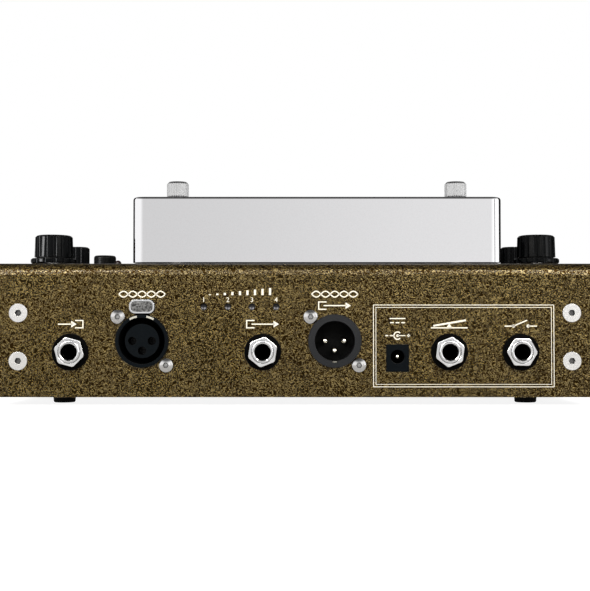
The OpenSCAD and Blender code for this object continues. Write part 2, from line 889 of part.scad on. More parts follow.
// A knob turned from a profile, with flutes round its grip and a groove as its pointer.
module large_knob() {
  flutes = 14;
  grip_r = large_knob_d / 2;
  rim_r = large_rim_d / 2;
  difference() {
    rotate_extrude() polygon([
      [0, knob_lift],
      [rim_r - 0.4, knob_lift],
      [rim_r, knob_lift + 0.4],
      [rim_r, knob_lift + 1.6],
      [rim_r - 0.5, knob_lift + 2.1],
      [grip_r - 0.9, knob_lift + 2.1],
      [grip_r - 0.9, knob_lift + 2.7],
      [grip_r, knob_lift + 2.7],
      [grip_r - 0.3, large_knob_h - 0.9],
      [grip_r - 1, large_knob_h - 0.2],
      [grip_r - 1.8, large_knob_h],
      [0, large_knob_h]
    ]);
    for (i = [0 : flutes - 1]) rotate(i * 360 / flutes) {
      translate([grip_r + 0.7, 0, 0]) rod(2.6, knob_lift + 2.4, large_knob_h + 1);
      translate([rim_r + 0.4, 0, 0]) rod(2, 0, knob_lift + 2.2);
    }
    rod(shaft_d + 2 * press_gap, 0, knob_bore_top);
    translate([-0.5, -grip_r - 1, large_knob_h - 0.4]) cube([1, grip_r, 1]);
  }
}

module small_knob() {
  flutes = 16;
  grip_r = small_knob_d / 2;
  difference() {
    rotate_extrude() polygon([
      [0, knob_lift],
      [grip_r - 0.3, knob_lift],
      [grip_r, knob_lift + 0.3],
      [grip_r, small_knob_h - 0.8],
      [grip_r - 0.7, small_knob_h - 0.1],
      [grip_r - 1.2, small_knob_h],
      [0, small_knob_h]
    ]);
    for (i = [0 : flutes - 1]) rotate(i * 360 / flutes)
      translate([grip_r + 0.45, 0, 0]) rod(1.6, knob_lift + 1.2, small_knob_h + 1);
    rod(shaft_d + 2 * press_gap, 0, knob_bore_top);
    translate([-0.4, -grip_r - 0.8, small_knob_h - 0.4]) cube([0.8, grip_r, 1]);
  }
}

module level_knob() {
  color([0.05, 0.05, 0.05]) at_top(-large_knob_x, large_knob_back) large_knob();
}

module speed_knob() {
  color([0.05, 0.05, 0.05]) at_top(large_knob_x, large_knob_back) large_knob();
}

module tone_knob() {
  color([0.05, 0.05, 0.05]) at_top(-small_knob_x, small_knob_back) small_knob();
}

module feedback_knob() {
  color([0.05, 0.05, 0.05]) at_top(small_knob_x, small_knob_back) small_knob();
}

// Shaft that a knob is pushed on, from inside the potentiometer.
module shaft() {
  color([0.66, 0.66, 0.67]) rod(shaft_d, -sheet_t - 5.5, knob_bore_top - 0.1);
}

module level_shaft() {
  at_top(-large_knob_x, large_knob_back) shaft();
}

module speed_shaft() {
  at_top(large_knob_x, large_knob_back) shaft();
}

module tone_shaft() {
  at_top(-small_knob_x, small_knob_back) shaft();
}

module feedback_shaft() {
  at_top(small_knob_x, small_knob_back) shaft();
}

module pot_bodies() {
  color([0.55, 0.55, 0.57])
  pot_places() difference() {
    union() {
      rod(pot_d, -sheet_t - pot_h, -sheet_t);
      rod(pot_bush_d, -sheet_t - 1, pot_bush_h);
      translate([-6, 0, -sheet_t - pot_h + 1]) cube([12, pot_d / 2 + 4, 1.5]);
    }
    rod(shaft_d + 2 * run_gap, -sheet_t - 6, pot_bush_h + 1);
  }
}

// Nuts of the potentiometers, the footswitches and the posts.
module panel_nuts() {
  color([0.72, 0.72, 0.73]) {
    pot_places() nut(pot_nut_flats, pot_bush_d, 0, pot_nut_t);
    switch_places() nut(switch_nut_flats, switch_bush_d, 0, switch_nut_t);
    post_places() nut(7, thumb_shank_d, deck_low - post_nut_t, deck_low);
  }
}

module switch_bodies() {
  color([0.10, 0.16, 0.36])
  switch_places() difference() {
    union() {
      block(switch_w, switch_w, -sheet_t - switch_l, -sheet_t);
      rod(switch_bush_d, -sheet_t - 1, switch_bush_h);
    }
    rod(plunger_d + 2 * run_gap, -sheet_t - 9, switch_bush_h + 1);
  }
}

module plunger() {
  color([0.74, 0.74, 0.75]) rod(plunger_d, -sheet_t - 5, cap_low + 3);
}

module left_switch_plunger() {
  at_switch(-1) plunger();
}

module right_switch_plunger() {
  at_switch(1) plunger();
}

// Black cap pushed over the plunger.
module switch_cap() {
  r = cap_d / 2;
  edge = 1.4;
  bore = plunger_d / 2 + press_gap;
  color([0.05, 0.05, 0.05])
  rotate_extrude() difference() {
    union() {
      translate([0, cap_low]) square([r, cap_h - cap_low - edge]);
      translate([0, cap_low]) square([r - edge, cap_h - cap_low]);
      translate([r - edge, cap_h - edge]) circle(edge);
    }
    translate([-1, cap_low - 1]) square([1 + bore, 4]);
  }
}

module left_switch_cap() {
  at_switch(-1) switch_cap();
}

module right_switch_cap() {
  at_switch(1) switch_cap();
}

module lamp_bezels() {
  color([0.70, 0.70, 0.71])
  lamp_places() difference() {
    union() {
      rod(lamp_d + 1.2, -sheet_t - 2, 0.5);
      rod(lamp_bezel_d, 0, 0.9);
    }
    rod(lamp_d + 2 * press_gap, -sheet_t - 3, 2);
  }
}

module lamps() {
  color([0.75, 0.12, 0.08])
  lamp_places() {
    rod(lamp_d, -sheet_t - 2, lamp_h - lamp_d / 2);
    translate([0, 0, lamp_h - lamp_d / 2]) sphere(d = lamp_d);
  }
}

// A closed box with round upright edges and round top edges, from height 0 up.
module cover_solid(w, d, h, corner_r, edge_r) {
  intersection() {
    round_slab(w, d, corner_r, 0, h);
    translate([0, d / 2 + 1, 0]) rotate([90, 0, 0]) linear_extrude(d + 2) arch(w, h, edge_r);
    translate([-w / 2 - 1, 0, 0]) rotate([90, 0, 90]) linear_extrude(w + 2) arch(d, h, edge_r);
  }
}

// A rectangle on the ground line with its two upper corners rounded.
module arch(w, h, r) {
  translate([-w / 2, -1]) square([w, h - r + 1]);
  translate([-w / 2 + r, -1]) square([w - 2 * r, h + 1]);
  for (s = [-1, 1]) translate([s * (w / 2 - r), h - r]) circle(r);
}

module drum_cover() {
  color([0.82, 0.82, 0.84])
  difference() {
    at_drum() translate([0, 0, cover_gap]) difference() {
      cover_solid(cover_w, cover_d, cover_h, cover_corner_r, cover_edge_r);
      translate([0, 0, -1]) cover_solid(
        cover_w - 2 * cover_t, cover_d - 2 * cover_t, cover_h - cover_t + 1,
        cover_corner_r - cover_t, cover_edge_r - cover_t
      );
    }
    post_places() rod(thumb_shank_d + 2 * free_gap, post_top - 1, cover_top + 1);
  }
}

// Thumb screw: a knurled head on a neck that bears on the cover, and its shank.
module thumb_screw(s, t) {
  ridges = 30;
  head_low = cover_top + thumb_neck_h;
  head_top = head_low + thumb_h;
  r = thumb_d / 2;
  color([0.78, 0.78, 0.78])
  post_place(s, t) difference() {
    union() {
      rod(thumb_shank_d, cover_top - thumb_shank_l, cover_top);
      rod(6.4, cover_top, head_low);
      translate([0, 0, head_low]) rotate_extrude() polygon([
        [0, 0],
        [r - 0.5, 0],
        [r, 0.5],
        [r, thumb_h - 1],
        [r - 1, thumb_h],
        [0, thumb_h]
      ]);
    }
    for (i = [0 : ridges - 1]) rotate(i * 360 / ridges)
      translate([r + 0.25, 0, 0]) rod(0.9, head_low - 1, head_top + 1);
  }
}

module thumb_screw_1() {
  thumb_screw(-1, -1);
}

module thumb_screw_2() {
  thumb_screw(1, -1);
}

module thumb_screw_3() {
  thumb_screw(-1, 1);
}

module thumb_screw_4() {
  thumb_screw(1, 1);
}

// Posts that carry the cover. Each stud clamps the deck plate under the case top.
module cover_posts() {
  color([0.74, 0.74, 0.75])
  post_places() difference() {
    union() {
      rod(post_d, 0, post_top);
      rod(thumb_shank_d, deck_low - post_nut_t - 0.4, 0.5);
    }
    rod(thumb_shank_d + 2 * fit_gap, post_top - thumb_shank_l - 1, post_top + 1);
  }
}

module at_motor() {
  at_drum() rotate(motor_angle) translate([motor_shift, 0, 0]) children();
}

module motor_screw_places() {
  for (a = [90, 270]) rotate(a) translate([motor_d / 2 - 3.5, 0, 0]) children();
}

// Screw places on the feet of the head brackets.
module bracket_screw_places() {
  at_drum() for (a = head_angles) rotate(a)
    translate([drum_r + bracket_in + bracket_l - 2.1, 0, bracket_t - sheet_t]) children();
}

module deck_plate() {
  color([0.70, 0.71, 0.72])
  difference() {
    at_drum() round_slab(2 * deck_half_x, 2 * deck_half_y, 5, deck_low, -sheet_t);
    post_places() rod(thumb_shank_d + 2 * fit_gap, deck_low - 1, 0);
    at_drum() rod(bearing_d + 2 * fit_gap, deck_low - 1, 0);
    bracket_screw_places() rod(board_screw_d + 2 * fit_gap, -bracket_t - deck_t - 1, 0);
    at_motor() {
      rod(8 + 2 * fit_gap, deck_low - 1, 0);
      motor_screw_places() rod(board_screw_d + 2 * fit_gap, deck_low - 1, 0);
    }
  }
}

// Drum with its rim, web, hub and belt pulley, turned from one casting.
module drum() {
  bore = spindle_d / 2 + press_gap;
  groove = pulley_d / 2;
  color([0.72, 0.70, 0.66])
  at_drum() rotate_extrude() polygon([
    [bore, hub_low],
    [groove + 1, hub_low],
    [groove + 1, hub_low + flange_pulley_t],
    [groove, hub_low + flange_pulley_t],
    [groove, pulley_top - flange_pulley_t],
    [groove + 1, pulley_top - flange_pulley_t],
    [groove + 1, pulley_top],
    [hub_r, pulley_top],
    [hub_r, rim_top - web_t - 1],
    [drum_r - rim_t, rim_top - web_t - 1],
    [drum_r - rim_t, rim_low],
    [drum_r, rim_low],
    [drum_r, rim_top],
    [drum_r - rim_t, rim_top],
    [drum_r - rim_t - 1, rim_top - 1],
    [hub_r + 1, rim_top - 1],
    [hub_r, rim_top],
    [bore, rim_top]
  ]);
}

// Spindle with the head that clamps the drum.
module drum_spindle() {
  color([0.80, 0.80, 0.81])
  at_drum() {
    rod(spindle_d, deck_low - bearing_l + 2.1, rim_top);
    translate([0, 0, rim_top]) rotate_extrude() polygon([
      [0, 0],
      [hub_r - 1, 0],
      [hub_r - 1, 1.6],
      [hub_r - 2, 2.6],
      [0, 3]
    ]);
  }
}

module drum_bearing() {
  color([0.72, 0.58, 0.32])
  at_drum() difference() {
    union() {
      rod(bearing_d, deck_low - bearing_l, -sheet_t + 0.5);
      rod(bearing_d + 6, -sheet_t, -sheet_t + 1.5);
    }
    rod(spindle_d + 2 * run_gap, deck_low - bearing_l + 2, 1);
  }
}

// Erase, record and four playback heads, alike on the outside, with faces hollowed to the drum.
module drum_heads() {
  color([0.62, 0.62, 0.64])
  at_drum() for (a = head_angles) rotate(a) difference() {
    translate([drum_r, -head_w / 2, rim_mid - head_h / 2]) cube([head_l, head_w, head_h]);
    rod(drum_d + 2 * head_gap, rim_mid - head_h, rim_mid + head_h);
    for (s = [-1, 1]) translate([drum_r + 2, s * head_w / 2, rim_mid - head_h])
      rotate(45) cube([2.4, 2.4, 4 * head_h], center = true);
  }
}

module head_brackets() {
  high = rim_mid - head_h / 2;
  upright = drum_r + bracket_in + 1;
  color([0.45, 0.45, 0.47])
  difference() {
    at_drum() for (a = head_angles) rotate(a) {
      translate([drum_r + bracket_in, -bracket_w / 2, -sheet_t]) cube([bracket_l, bracket_w, bracket_t]);
      translate([upright, -bracket_w / 2, -sheet_t + 1]) cube([2, bracket_w, high + sheet_t - 1]);
      translate([drum_r + bracket_in, -bracket_w / 2, high - 1.6]) cube([bracket_l, bracket_w, 1.6]);
    }
    bracket_screw_places() rod(board_screw_d + 2 * fit_gap, -bracket_t - 1, 1);
  }
}

module motor() {
  color([0.60, 0.60, 0.62])
  at_motor() difference() {
    union() {
      rod(motor_d, deck_low - motor_l, deck_low);
      rod(8, deck_low - 1, -sheet_t);
    }
    rod(motor_shaft_d + 2 * run_gap, deck_low - 12, 0);
    motor_screw_places() rod(board_screw_d + 2 * fit_gap, deck_low - 4, deck_low + 1);
  }
}

module motor_pulley() {
  color([0.80, 0.66, 0.36])
  at_motor() {
    rod(motor_shaft_d, deck_low - 11.5, hub_low + 0.1);
    rod(motor_pulley_d + 2, hub_low, hub_low + flange_pulley_t);
    rod(motor_pulley_d, hub_low + flange_pulley_t, pulley_top - flange_pulley_t);
    rod(motor_pulley_d + 2, pulley_top - flange_pulley_t, pulley_top);
  }
}

// Outline of a loop at radius r1 round the drum's pulley and r2 round the motor's, straight between them.
function belt_loop(r1, r2) =
  let (leave = acos((r1 - r2) / motor_shift), back = 360 - 2 * leave)
  concat(
    [for (i = [0 : 60]) r1 * [cos(leave + back * i / 60), sin(leave + back * i / 60)]],
    [for (i = [-12 : 12]) [motor_shift, 0] + r2 * [cos(leave * i / 12), sin(leave * i / 12)]]
  );

module drive_belt() {
  r1 = pulley_d / 2 + belt_gap;
  r2 = motor_pulley_d / 2 + belt_gap;
  color([0.06, 0.06, 0.06])
  at_drum() rotate(motor_angle) translate([0, 0, belt_low]) linear_extrude(belt_w) difference() {
    polygon(belt_loop(r1 + belt_t, r2 + belt_t));
    polygon(belt_loop(r1, r2));
  }
}

module main_board() {
  color([0.08, 0.30, 0.15])
  difference() {
    translate([-case_w / 2 + main_side, rear_y + main_back, main_board_z])
      cube([case_w - 2 * main_side, main_d, board_t]);
    boss_places_on_base() rod(board_screw_d + 2 * fit_gap, boss_h - 1, boss_h + board_t + 1);
  }
}

// Chips, capacitors and the plug that joins the two boards.
module board_parts() {
  color([0.10, 0.10, 0.11])
  translate([0, rear_y + main_back, main_board_z + board_t]) {
    for (x = chip_columns, y = chip_rows) translate([x, y, 0]) block(10, 6.5, 0, 3.2);
    for (x = small_can_columns, y = small_can_rows) translate([x, y, 0]) rod(6.3, 0, 10);
    for (x = large_can_columns) translate([x, large_can_row, 0]) rod(8, 0, 11);
    translate([-10, board_back + board_t - main_back + 4.5, 0]) block(40, 9, 0, 8);
  }
}

rear_panel();
case_shell();
left_cheek();
right_cheek();
base_plate();
rubber_feet();
case_screws();
base_screws();
xlr_input_shell();
xlr_input_insert();
xlr_input_latch();
xlr_input_contacts();
xlr_output_shell();
socket_pins();
small_screws();
jack_bodies();
jack_bushes();
jack_nuts();
jack_washers();
dc_socket();
trimmer_bodies();
trimmer_1();
trimmer_2();
trimmer_3();
trimmer_4();
connector_board();
level_knob();
speed_knob();
tone_knob();
feedback_knob();
level_shaft();
speed_shaft();
tone_shaft();
feedback_shaft();
pot_bodies();
panel_nuts();
left_switch_cap();
right_switch_cap();
left_switch_plunger();
right_switch_plunger();
switch_bodies();
lamp_bezels();
lamps();
drum_cover();
thumb_screw_1();
thumb_screw_2();
thumb_screw_3();
thumb_screw_4();
cover_posts();
deck_plate();
drum();
drum_spindle();
drum_bearing();
drum_heads();
head_brackets();
motor();
motor_pulley();
drive_belt();
main_board();
board_parts();
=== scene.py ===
# %% [markdown]
# This lesson dresses a floor-standing drum delay: a bronze case with its sockets at the back, a
# polished cover over the drum, and knobs at both sides. The solids come from the CAD model, in metres
# and in one shared frame. A solid whose shape is right stays and gets a finish. Where the real piece
# has more to it than the solid, a new piece is built that rides on the same body.

# %% Load the frame
import json
import math

import bmesh
import bpy
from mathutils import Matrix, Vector


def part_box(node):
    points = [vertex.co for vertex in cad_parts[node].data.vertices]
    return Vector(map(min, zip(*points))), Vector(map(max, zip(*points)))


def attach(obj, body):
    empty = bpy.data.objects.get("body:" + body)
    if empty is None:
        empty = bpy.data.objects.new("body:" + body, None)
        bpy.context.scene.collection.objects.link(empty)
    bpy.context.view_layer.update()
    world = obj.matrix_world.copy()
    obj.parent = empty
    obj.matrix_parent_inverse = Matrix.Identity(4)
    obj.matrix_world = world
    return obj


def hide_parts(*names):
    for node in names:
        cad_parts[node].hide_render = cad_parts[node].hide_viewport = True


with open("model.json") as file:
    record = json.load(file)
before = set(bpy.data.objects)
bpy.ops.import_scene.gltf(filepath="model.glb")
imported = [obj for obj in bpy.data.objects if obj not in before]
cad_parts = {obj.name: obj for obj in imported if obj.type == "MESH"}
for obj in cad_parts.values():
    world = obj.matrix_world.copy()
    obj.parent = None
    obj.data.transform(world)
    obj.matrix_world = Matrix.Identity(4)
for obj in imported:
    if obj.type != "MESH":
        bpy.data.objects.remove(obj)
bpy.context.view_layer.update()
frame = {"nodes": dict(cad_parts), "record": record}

MM = 0.001
nodes = frame["nodes"]

# %% [markdown]
# The camera stands half a metre behind the unit, a little lower than its top, so the sockets on the
# rear panel face it squarely and the top is seen edge-on. A long lens tilted up by less than two
# degrees gives the same picture as the photograph: the case runs out of the frame at both sides.

# %% Camera at the photograph's place
IMAGE_WIDTH = 590
FOCAL_PIXELS = 1220
SENSOR_WIDTH = 36
REAR_Y = -100.4
CAMERA_DISTANCE = 500
EYE_HEIGHT = 30.9
HORIZON_BELOW_MIDDLE = 34.5

camera_data = bpy.data.cameras.new("camera")
camera_data.sensor_fit = "HORIZONTAL"
camera_data.sensor_width = SENSOR_WIDTH
camera_data.lens = SENSOR_WIDTH * FOCAL_PIXELS / IMAGE_WIDTH
camera_data.clip_start = 0.01
camera = bpy.data.objects.new("camera", camera_data)
bpy.context.scene.collection.objects.link(camera)
camera.location = (0, (REAR_Y - CAMERA_DISTANCE) * MM, EYE_HEIGHT * MM)
tilt = math.atan(HORIZON_BELOW_MIDDLE / FOCAL_PIXELS)
camera.rotation_euler = (math.pi / 2 + tilt, 0, 0)
bpy.context.scene.camera = camera
bpy.context.scene.view_settings.view_transform = "Standard"
print("lens", round(camera_data.lens, 1), "mm, tilted up", round(math.degrees(tilt), 2), "degrees")


# %% [markdown]
# The room and every finish are drawn as nodes that feed one another. Placing a node and filling its
# sockets takes several lines each time, so a few small helpers do it, and the rest of the lesson
# reads almost like sums.


# %% Helpers for nodes
def add(tree, kind, **settings):
    """A node with its settings; sockets are set afterwards by name."""
    node = tree.nodes.new(kind)
    for key, value in settings.items():
        setattr(node, key, value)
    return node


def plug(tree, value, socket):
    """Feeds a socket from another socket, or sets it to a plain value."""
    if isinstance(value, bpy.types.NodeSocket):
        tree.links.new(value, socket)
    else:
        socket.default_value = value


def sum_of(tree, operation, *values):
    """A Math node over sockets or numbers."""
    node = add(tree, "ShaderNodeMath", operation=operation)
    for value, socket in zip(values, node.inputs):
        plug(tree, value, socket)
    return node.outputs[0]


def product(tree, first, *others):
    """All the values multiplied together."""
    for other in others:
        first = sum_of(tree, "MULTIPLY", first, other)
    return first


def vector_sum(tree, operation, *vectors):
    """A Vector Math node; a length, a distance or a dot product comes out as a number."""
    node = add(tree, "ShaderNodeVectorMath", operation=operation)
    for vector, socket in zip(vectors, node.inputs):
        plug(tree, vector, socket)
    gives_number = operation in ("LENGTH", "DISTANCE", "DOT_PRODUCT")
    return node.outputs["Value" if gives_number else "Vector"]


def spread(tree, value, low, high, to_low=0.0, to_high=1.0):
    """Maps a value from one range to another, easing at both ends."""
    node = add(tree, "ShaderNodeMapRange", interpolation_type="SMOOTHSTEP")
    for number, socket in zip((value, low, high, to_low, to_high), node.inputs):
        plug(tree, number, socket)
    return node.outputs[0]


def ray_kinds(tree):
    """Masks for the rays of the camera, and for those that metal and glass send on."""
    paths = add(tree, "ShaderNodeLightPath").outputs
    sent_on = sum_of(tree, "MAXIMUM", paths["Is Glossy Ray"], paths["Is Transmission Ray"])
    return paths["Is Camera Ray"], sent_on


# %% [markdown]
# A studio for a shiny object is mostly about what the shiny parts see. The polished cover looks
# straight back past the camera, so the wall behind the camera is pale there and a little brighter
# to the right. The side walls are brighter still, which draws the white bands on the cover's upright
# edges. High up and beyond the unit the room is dim, which draws the dark line along the folded top
# edge. Only rays that metal or glass sends on see this wall. The camera sees plain white, and all
# other light on the object comes from a plain fill and from the soft boxes.

# %% The room
FILL_LIGHT = 0.42
world = bpy.data.worlds.new("studio")
bpy.context.scene.world = world
world.use_nodes = True
room = world.node_tree
room.nodes.clear()

direction = add(room, "ShaderNodeTexCoord").outputs["Generated"]
axes = add(room, "ShaderNodeSeparateXYZ")
plug(room, direction, axes.inputs[0])
left_to_right = spread(room, axes.outputs[0], -0.15, 0.18, 0.82, 1.0)
side_walls = spread(room, sum_of(room, "ABSOLUTE", axes.outputs[0]), 0.17, 0.70, 1.0, 1.5)
high_up = spread(room, axes.outputs[2], 0.46, 0.78, 1.0, 0.10)
beyond = spread(room, axes.outputs[1], 0.25, 0.65, 1.0, 0.30)
wall = product(room, left_to_right, side_walls, high_up, beyond)
camera_ray, mirror_ray = ray_kinds(room)
seen = add(room, "ShaderNodeMix", data_type="FLOAT")
plug(room, mirror_ray, seen.inputs[0])
plug(room, FILL_LIGHT, seen.inputs[2])
plug(room, wall, seen.inputs[3])
backdrop = add(room, "ShaderNodeBackground")
plug(room, (1, 1, 1, 1), backdrop.inputs["Color"])
plug(room, sum_of(room, "MAXIMUM", seen.outputs[0], camera_ray), backdrop.inputs["Strength"])
room.links.new(backdrop.outputs[0], add(room, "ShaderNodeOutputWorld").inputs[0])
print("room of", len(room.nodes), "nodes, with a fill light of", FILL_LIGHT)


# %% [markdown]
# Large soft boxes light the object: a weak one over the camera, two warm ones beside it that rake the
# hammered paint, and one at each far side for the front of the case. A lamp's power alone says little
# about how bright its surface looks, so this helper takes the brightness and works out the power.


# %% Soft boxes
def soft_box(name, place, aim, width, height, glow, colour=(1, 1, 1)):
    """An area lamp whose surface has the given brightness, where 1 is white."""
    data = bpy.data.lights.new(name, "AREA")
    data.color = colour
    data.shape = "RECTANGLE"
    data.size, data.size_y = width, height
    data.energy = glow * 4 * width * height
    lamp = bpy.data.objects.new(name, data)
    bpy.context.scene.collection.objects.link(lamp)
    lamp.location = place
    lamp.rotation_euler = (Vector(aim) - Vector(place)).to_track_quat("-Z", "Y").to_euler()
    lamp.visible_camera = False
    return lamp


PANEL_MIDDLE = (0, REAR_Y * MM, 0.04)
CASE_MIDDLE = (0, 0, 0.05)
WARM = (1.0, 0.97, 0.90)
boxes = [soft_box("front_box", (0, -0.75, 0.52), PANEL_MIDDLE, 0.4, 0.62, 2.6),
         soft_box("left_box", (-0.41, -0.72, 0.5), PANEL_MIDDLE, 0.42, 0.62, 9.3, WARM),
         soft_box("right_box", (0.41, -0.72, 0.5), PANEL_MIDDLE, 0.42, 0.62, 9.3, WARM)]
for side in (-1, 1):
    boxes.append(soft_box("far_box", (1.05 * side, 0.75, 0.5), CASE_MIDDLE, 0.5, 0.6, 7.0))
print(len(boxes), "soft boxes")

# %% [markdown]
# A polished piece would show each box as a burnt-out patch, so the polished pieces are linked to the
# boxes as left out, and see only the room. The black knobs and caps get a narrow strip at each side,
# which nothing else sees. It draws the thin upright streaks on their flutes.

# %% Which pieces see which lights
POLISHED = ("thumb_screw_1", "thumb_screw_2", "thumb_screw_3", "thumb_screw_4", "small_screws", "drum",
            "drum_spindle", "deck_plate", "drum_heads", "cover_posts", "panel_nuts", "lamp_bezels",
            "motor_pulley")
GLOSSY_BLACK = ("level_knob", "speed_knob", "tone_knob", "feedback_knob", "left_switch_cap",
                "right_switch_cap")
mirrors = bpy.data.collections.new("mirrors")


def keep_from_boxes(piece):
    """Leaves the soft boxes out of what a polished piece mirrors, so that it doesn't burn out."""
    mirrors.objects.link(piece)
    for entry in mirrors.collection_objects:
        entry.light_linking.link_state = "EXCLUDE"


for name in POLISHED:
    keep_from_boxes(nodes[name])
for box in boxes:
    box.light_linking.receiver_collection = mirrors

glossy_black = bpy.data.collections.new("glossy_black")
for name in GLOSSY_BLACK:
    glossy_black.objects.link(nodes[name])
for side, glow in ((-1, 45), (1, 5)):
    strip = soft_box("strip_box", (0.66 * side, -0.42, 0.26), PANEL_MIDDLE, 0.16, 0.5, glow)
    strip.light_linking.receiver_collection = glossy_black
print(len(POLISHED), "solids don't see the boxes, and", len(GLOSSY_BLACK), "see the two strips")


# %% [markdown]
# A polished box melts into a white background. Photographers set black cards beside it, which show
# only as reflections. Two cards stand beyond the unit and draw the dark line down each upright edge.
# A narrow one, to the right of the camera, draws a hairline where the right corner begins to turn.


# %% Black cards that draw the cover's edges
def black_card(name, start, end, height):
    """An upright card that only mirror-like surfaces see."""
    mesh = bpy.data.meshes.new(name)
    low, high = 0.0, height
    mesh.from_pydata([(*start, low), (*end, low), (*end, high), (*start, high)], [], [(0, 1, 2, 3)])
    card = bpy.data.objects.new(name, mesh)
    bpy.context.scene.collection.objects.link(card)
    for kind in ("camera", "diffuse", "transmission", "shadow"):
        setattr(card, "visible_" + kind, False)
    dull = bpy.data.materials.new(name)
    dull.use_nodes = True
    inputs = dull.node_tree.nodes["Principled BSDF"].inputs
    inputs["Base Color"].default_value = (0.01, 0.01, 0.01, 1)
    inputs["Roughness"].default_value = 1.0
    inputs["Specular IOR Level"].default_value = 0.0
    mesh.materials.append(dull)


CARD_HEIGHT = 0.5
black_card("right_card", (0.66, 0.05), (0.28, 0.95), CARD_HEIGHT)
black_card("left_card", (-0.62, 0.16), (-0.28, 0.95), CARD_HEIGHT)
black_card("corner_card", (0.790, -0.735), (0.870, -0.645), CARD_HEIGHT)
print("three black cards,", CARD_HEIGHT, "m high")

# %% [markdown]
# The floor has to look white, keep the soft shadow under the case and not throw light up at it. A
# grey matt paper takes the light and the shadow, and a glow that only the camera sees lifts it to
# white. Metal and glass see a much weaker glow.

# %% Pale floor that keeps a soft shadow
FLOOR_SIZE = 6.0
CAMERA_GLOW, MIRROR_GLOW = 0.89, 0.18
reach = FLOOR_SIZE / 2
floor_mesh = bpy.data.meshes.new("floor")
floor_corners = [(-reach, -reach, 0), (reach, -reach, 0), (reach, reach, 0), (-reach, reach, 0)]
floor_mesh.from_pydata(floor_corners, [], [(0, 1, 2, 3)])
floor = bpy.data.objects.new("floor", floor_mesh)
bpy.context.scene.collection.objects.link(floor)
paper = bpy.data.materials.new("floor_paper")
paper.use_nodes = True
sheet_nodes = paper.node_tree
sheet_nodes.nodes.clear()
matt = add(sheet_nodes, "ShaderNodeBsdfDiffuse")
matt.inputs["Color"].default_value = (0.24, 0.24, 0.24, 1)
shine = add(sheet_nodes, "ShaderNodeEmission")
camera_ray, mirror_ray = ray_kinds(sheet_nodes)
for_camera = product(sheet_nodes, camera_ray, CAMERA_GLOW)
for_mirrors = product(sheet_nodes, mirror_ray, MIRROR_GLOW)
plug(sheet_nodes, sum_of(sheet_nodes, "MAXIMUM", for_camera, for_mirrors), shine.inputs["Strength"])
both = add(sheet_nodes, "ShaderNodeAddShader")
sheet_nodes.links.new(matt.outputs[0], both.inputs[0])
sheet_nodes.links.new(shine.outputs[0], both.inputs[1])
sheet_nodes.links.new(both.outputs[0], add(sheet_nodes, "ShaderNodeOutputMaterial").inputs[0])
floor_mesh.materials.append(paper)
print("floor", FLOOR_SIZE, "m square")


# %% [markdown]
# Every finish on the unit is a Principled shader fed by a few shared effects. Each effect is a node
# group that is built once: grain for fine mottling, smudges from handling, wear along edges, dust
# that settles on faces that look up, painted shade with some grime in recesses, and the lines that a
# lathe or a brush leaves. The groups give only masks and heights, and each material decides what they
# do to its colour and gloss.


# %% Helpers for node groups
def effect(name, inputs, outputs):
    """An empty node group; its inputs are labels with default values, its outputs are labels."""
    group = bpy.data.node_groups.new(name, "ShaderNodeTree")
    for label, value in inputs:
        kind = "NodeSocketVector" if isinstance(value, tuple) else "NodeSocketFloat"
        group.interface.new_socket(label, in_out="INPUT", socket_type=kind).default_value = value
    for label in outputs:
        group.interface.new_socket(label, in_out="OUTPUT", socket_type="NodeSocketFloat")
    start = add(group, "NodeGroupInput")
    end = add(group, "NodeGroupOutput")
    return group, start.outputs, end.inputs


def surface_point(tree):
    """The place on the piece, in metres."""
    return add(tree, "ShaderNodeTexCoord").outputs["Object"]


def noise(tree, point, size, detail=2.0, roughness=0.55, distortion=0.0):
    """Noise whose features are about the given size in metres."""
    node = add(tree, "ShaderNodeTexNoise")
    plug(tree, point, node.inputs["Vector"])
    is_fed = isinstance(size, bpy.types.NodeSocket)
    plug(tree, sum_of(tree, "DIVIDE", 1.0, size) if is_fed else 1.0 / size, node.inputs["Scale"])
    node.inputs["Detail"].default_value = detail
    node.inputs["Roughness"].default_value = roughness
    node.inputs["Distortion"].default_value = distortion
    return node.outputs["Fac"]


# %% [markdown]
# Plastic, plating and lacquer are never quite even: a fine grain shows in them, and hands leave soft
# smudges. Both are noise. The smudges multiply a broad noise by a finer one, so they look wiped.

# %% Grain and smudges
grain_group, given, made = effect("fine_grain", [("Size", 0.0005)], ["Grain"])
fine = noise(grain_group, surface_point(grain_group), given["Size"], detail=3, roughness=0.6)
plug(grain_group, spread(grain_group, fine, 0.32, 0.68), made["Grain"])

smudge_group, given, made = effect("handling_smudges", [("Size", 0.02)], ["Smudge"])
point = surface_point(smudge_group)
patches = noise(smudge_group, point, given["Size"], detail=4, roughness=0.65, distortion=0.8)
patches = spread(smudge_group, patches, 0.45, 0.72)
streaks = spread(smudge_group, noise(smudge_group, point, 0.0022, detail=2), 0.3, 0.7, 0.5, 1.0)
plug(smudge_group, product(smudge_group, patches, streaks), made["Smudge"])
print("groups", grain_group.name, "and", smudge_group.name)

# %% [markdown]
# Paint and plating rub off first where an edge stands out. A Bevel node gives the normal that a
# rounded edge would have, so where it turns away from the true normal there is an edge, and noise
# breaks the worn line into chips. Dust lies on faces that look up, so its mask starts from the
# height of the normal.

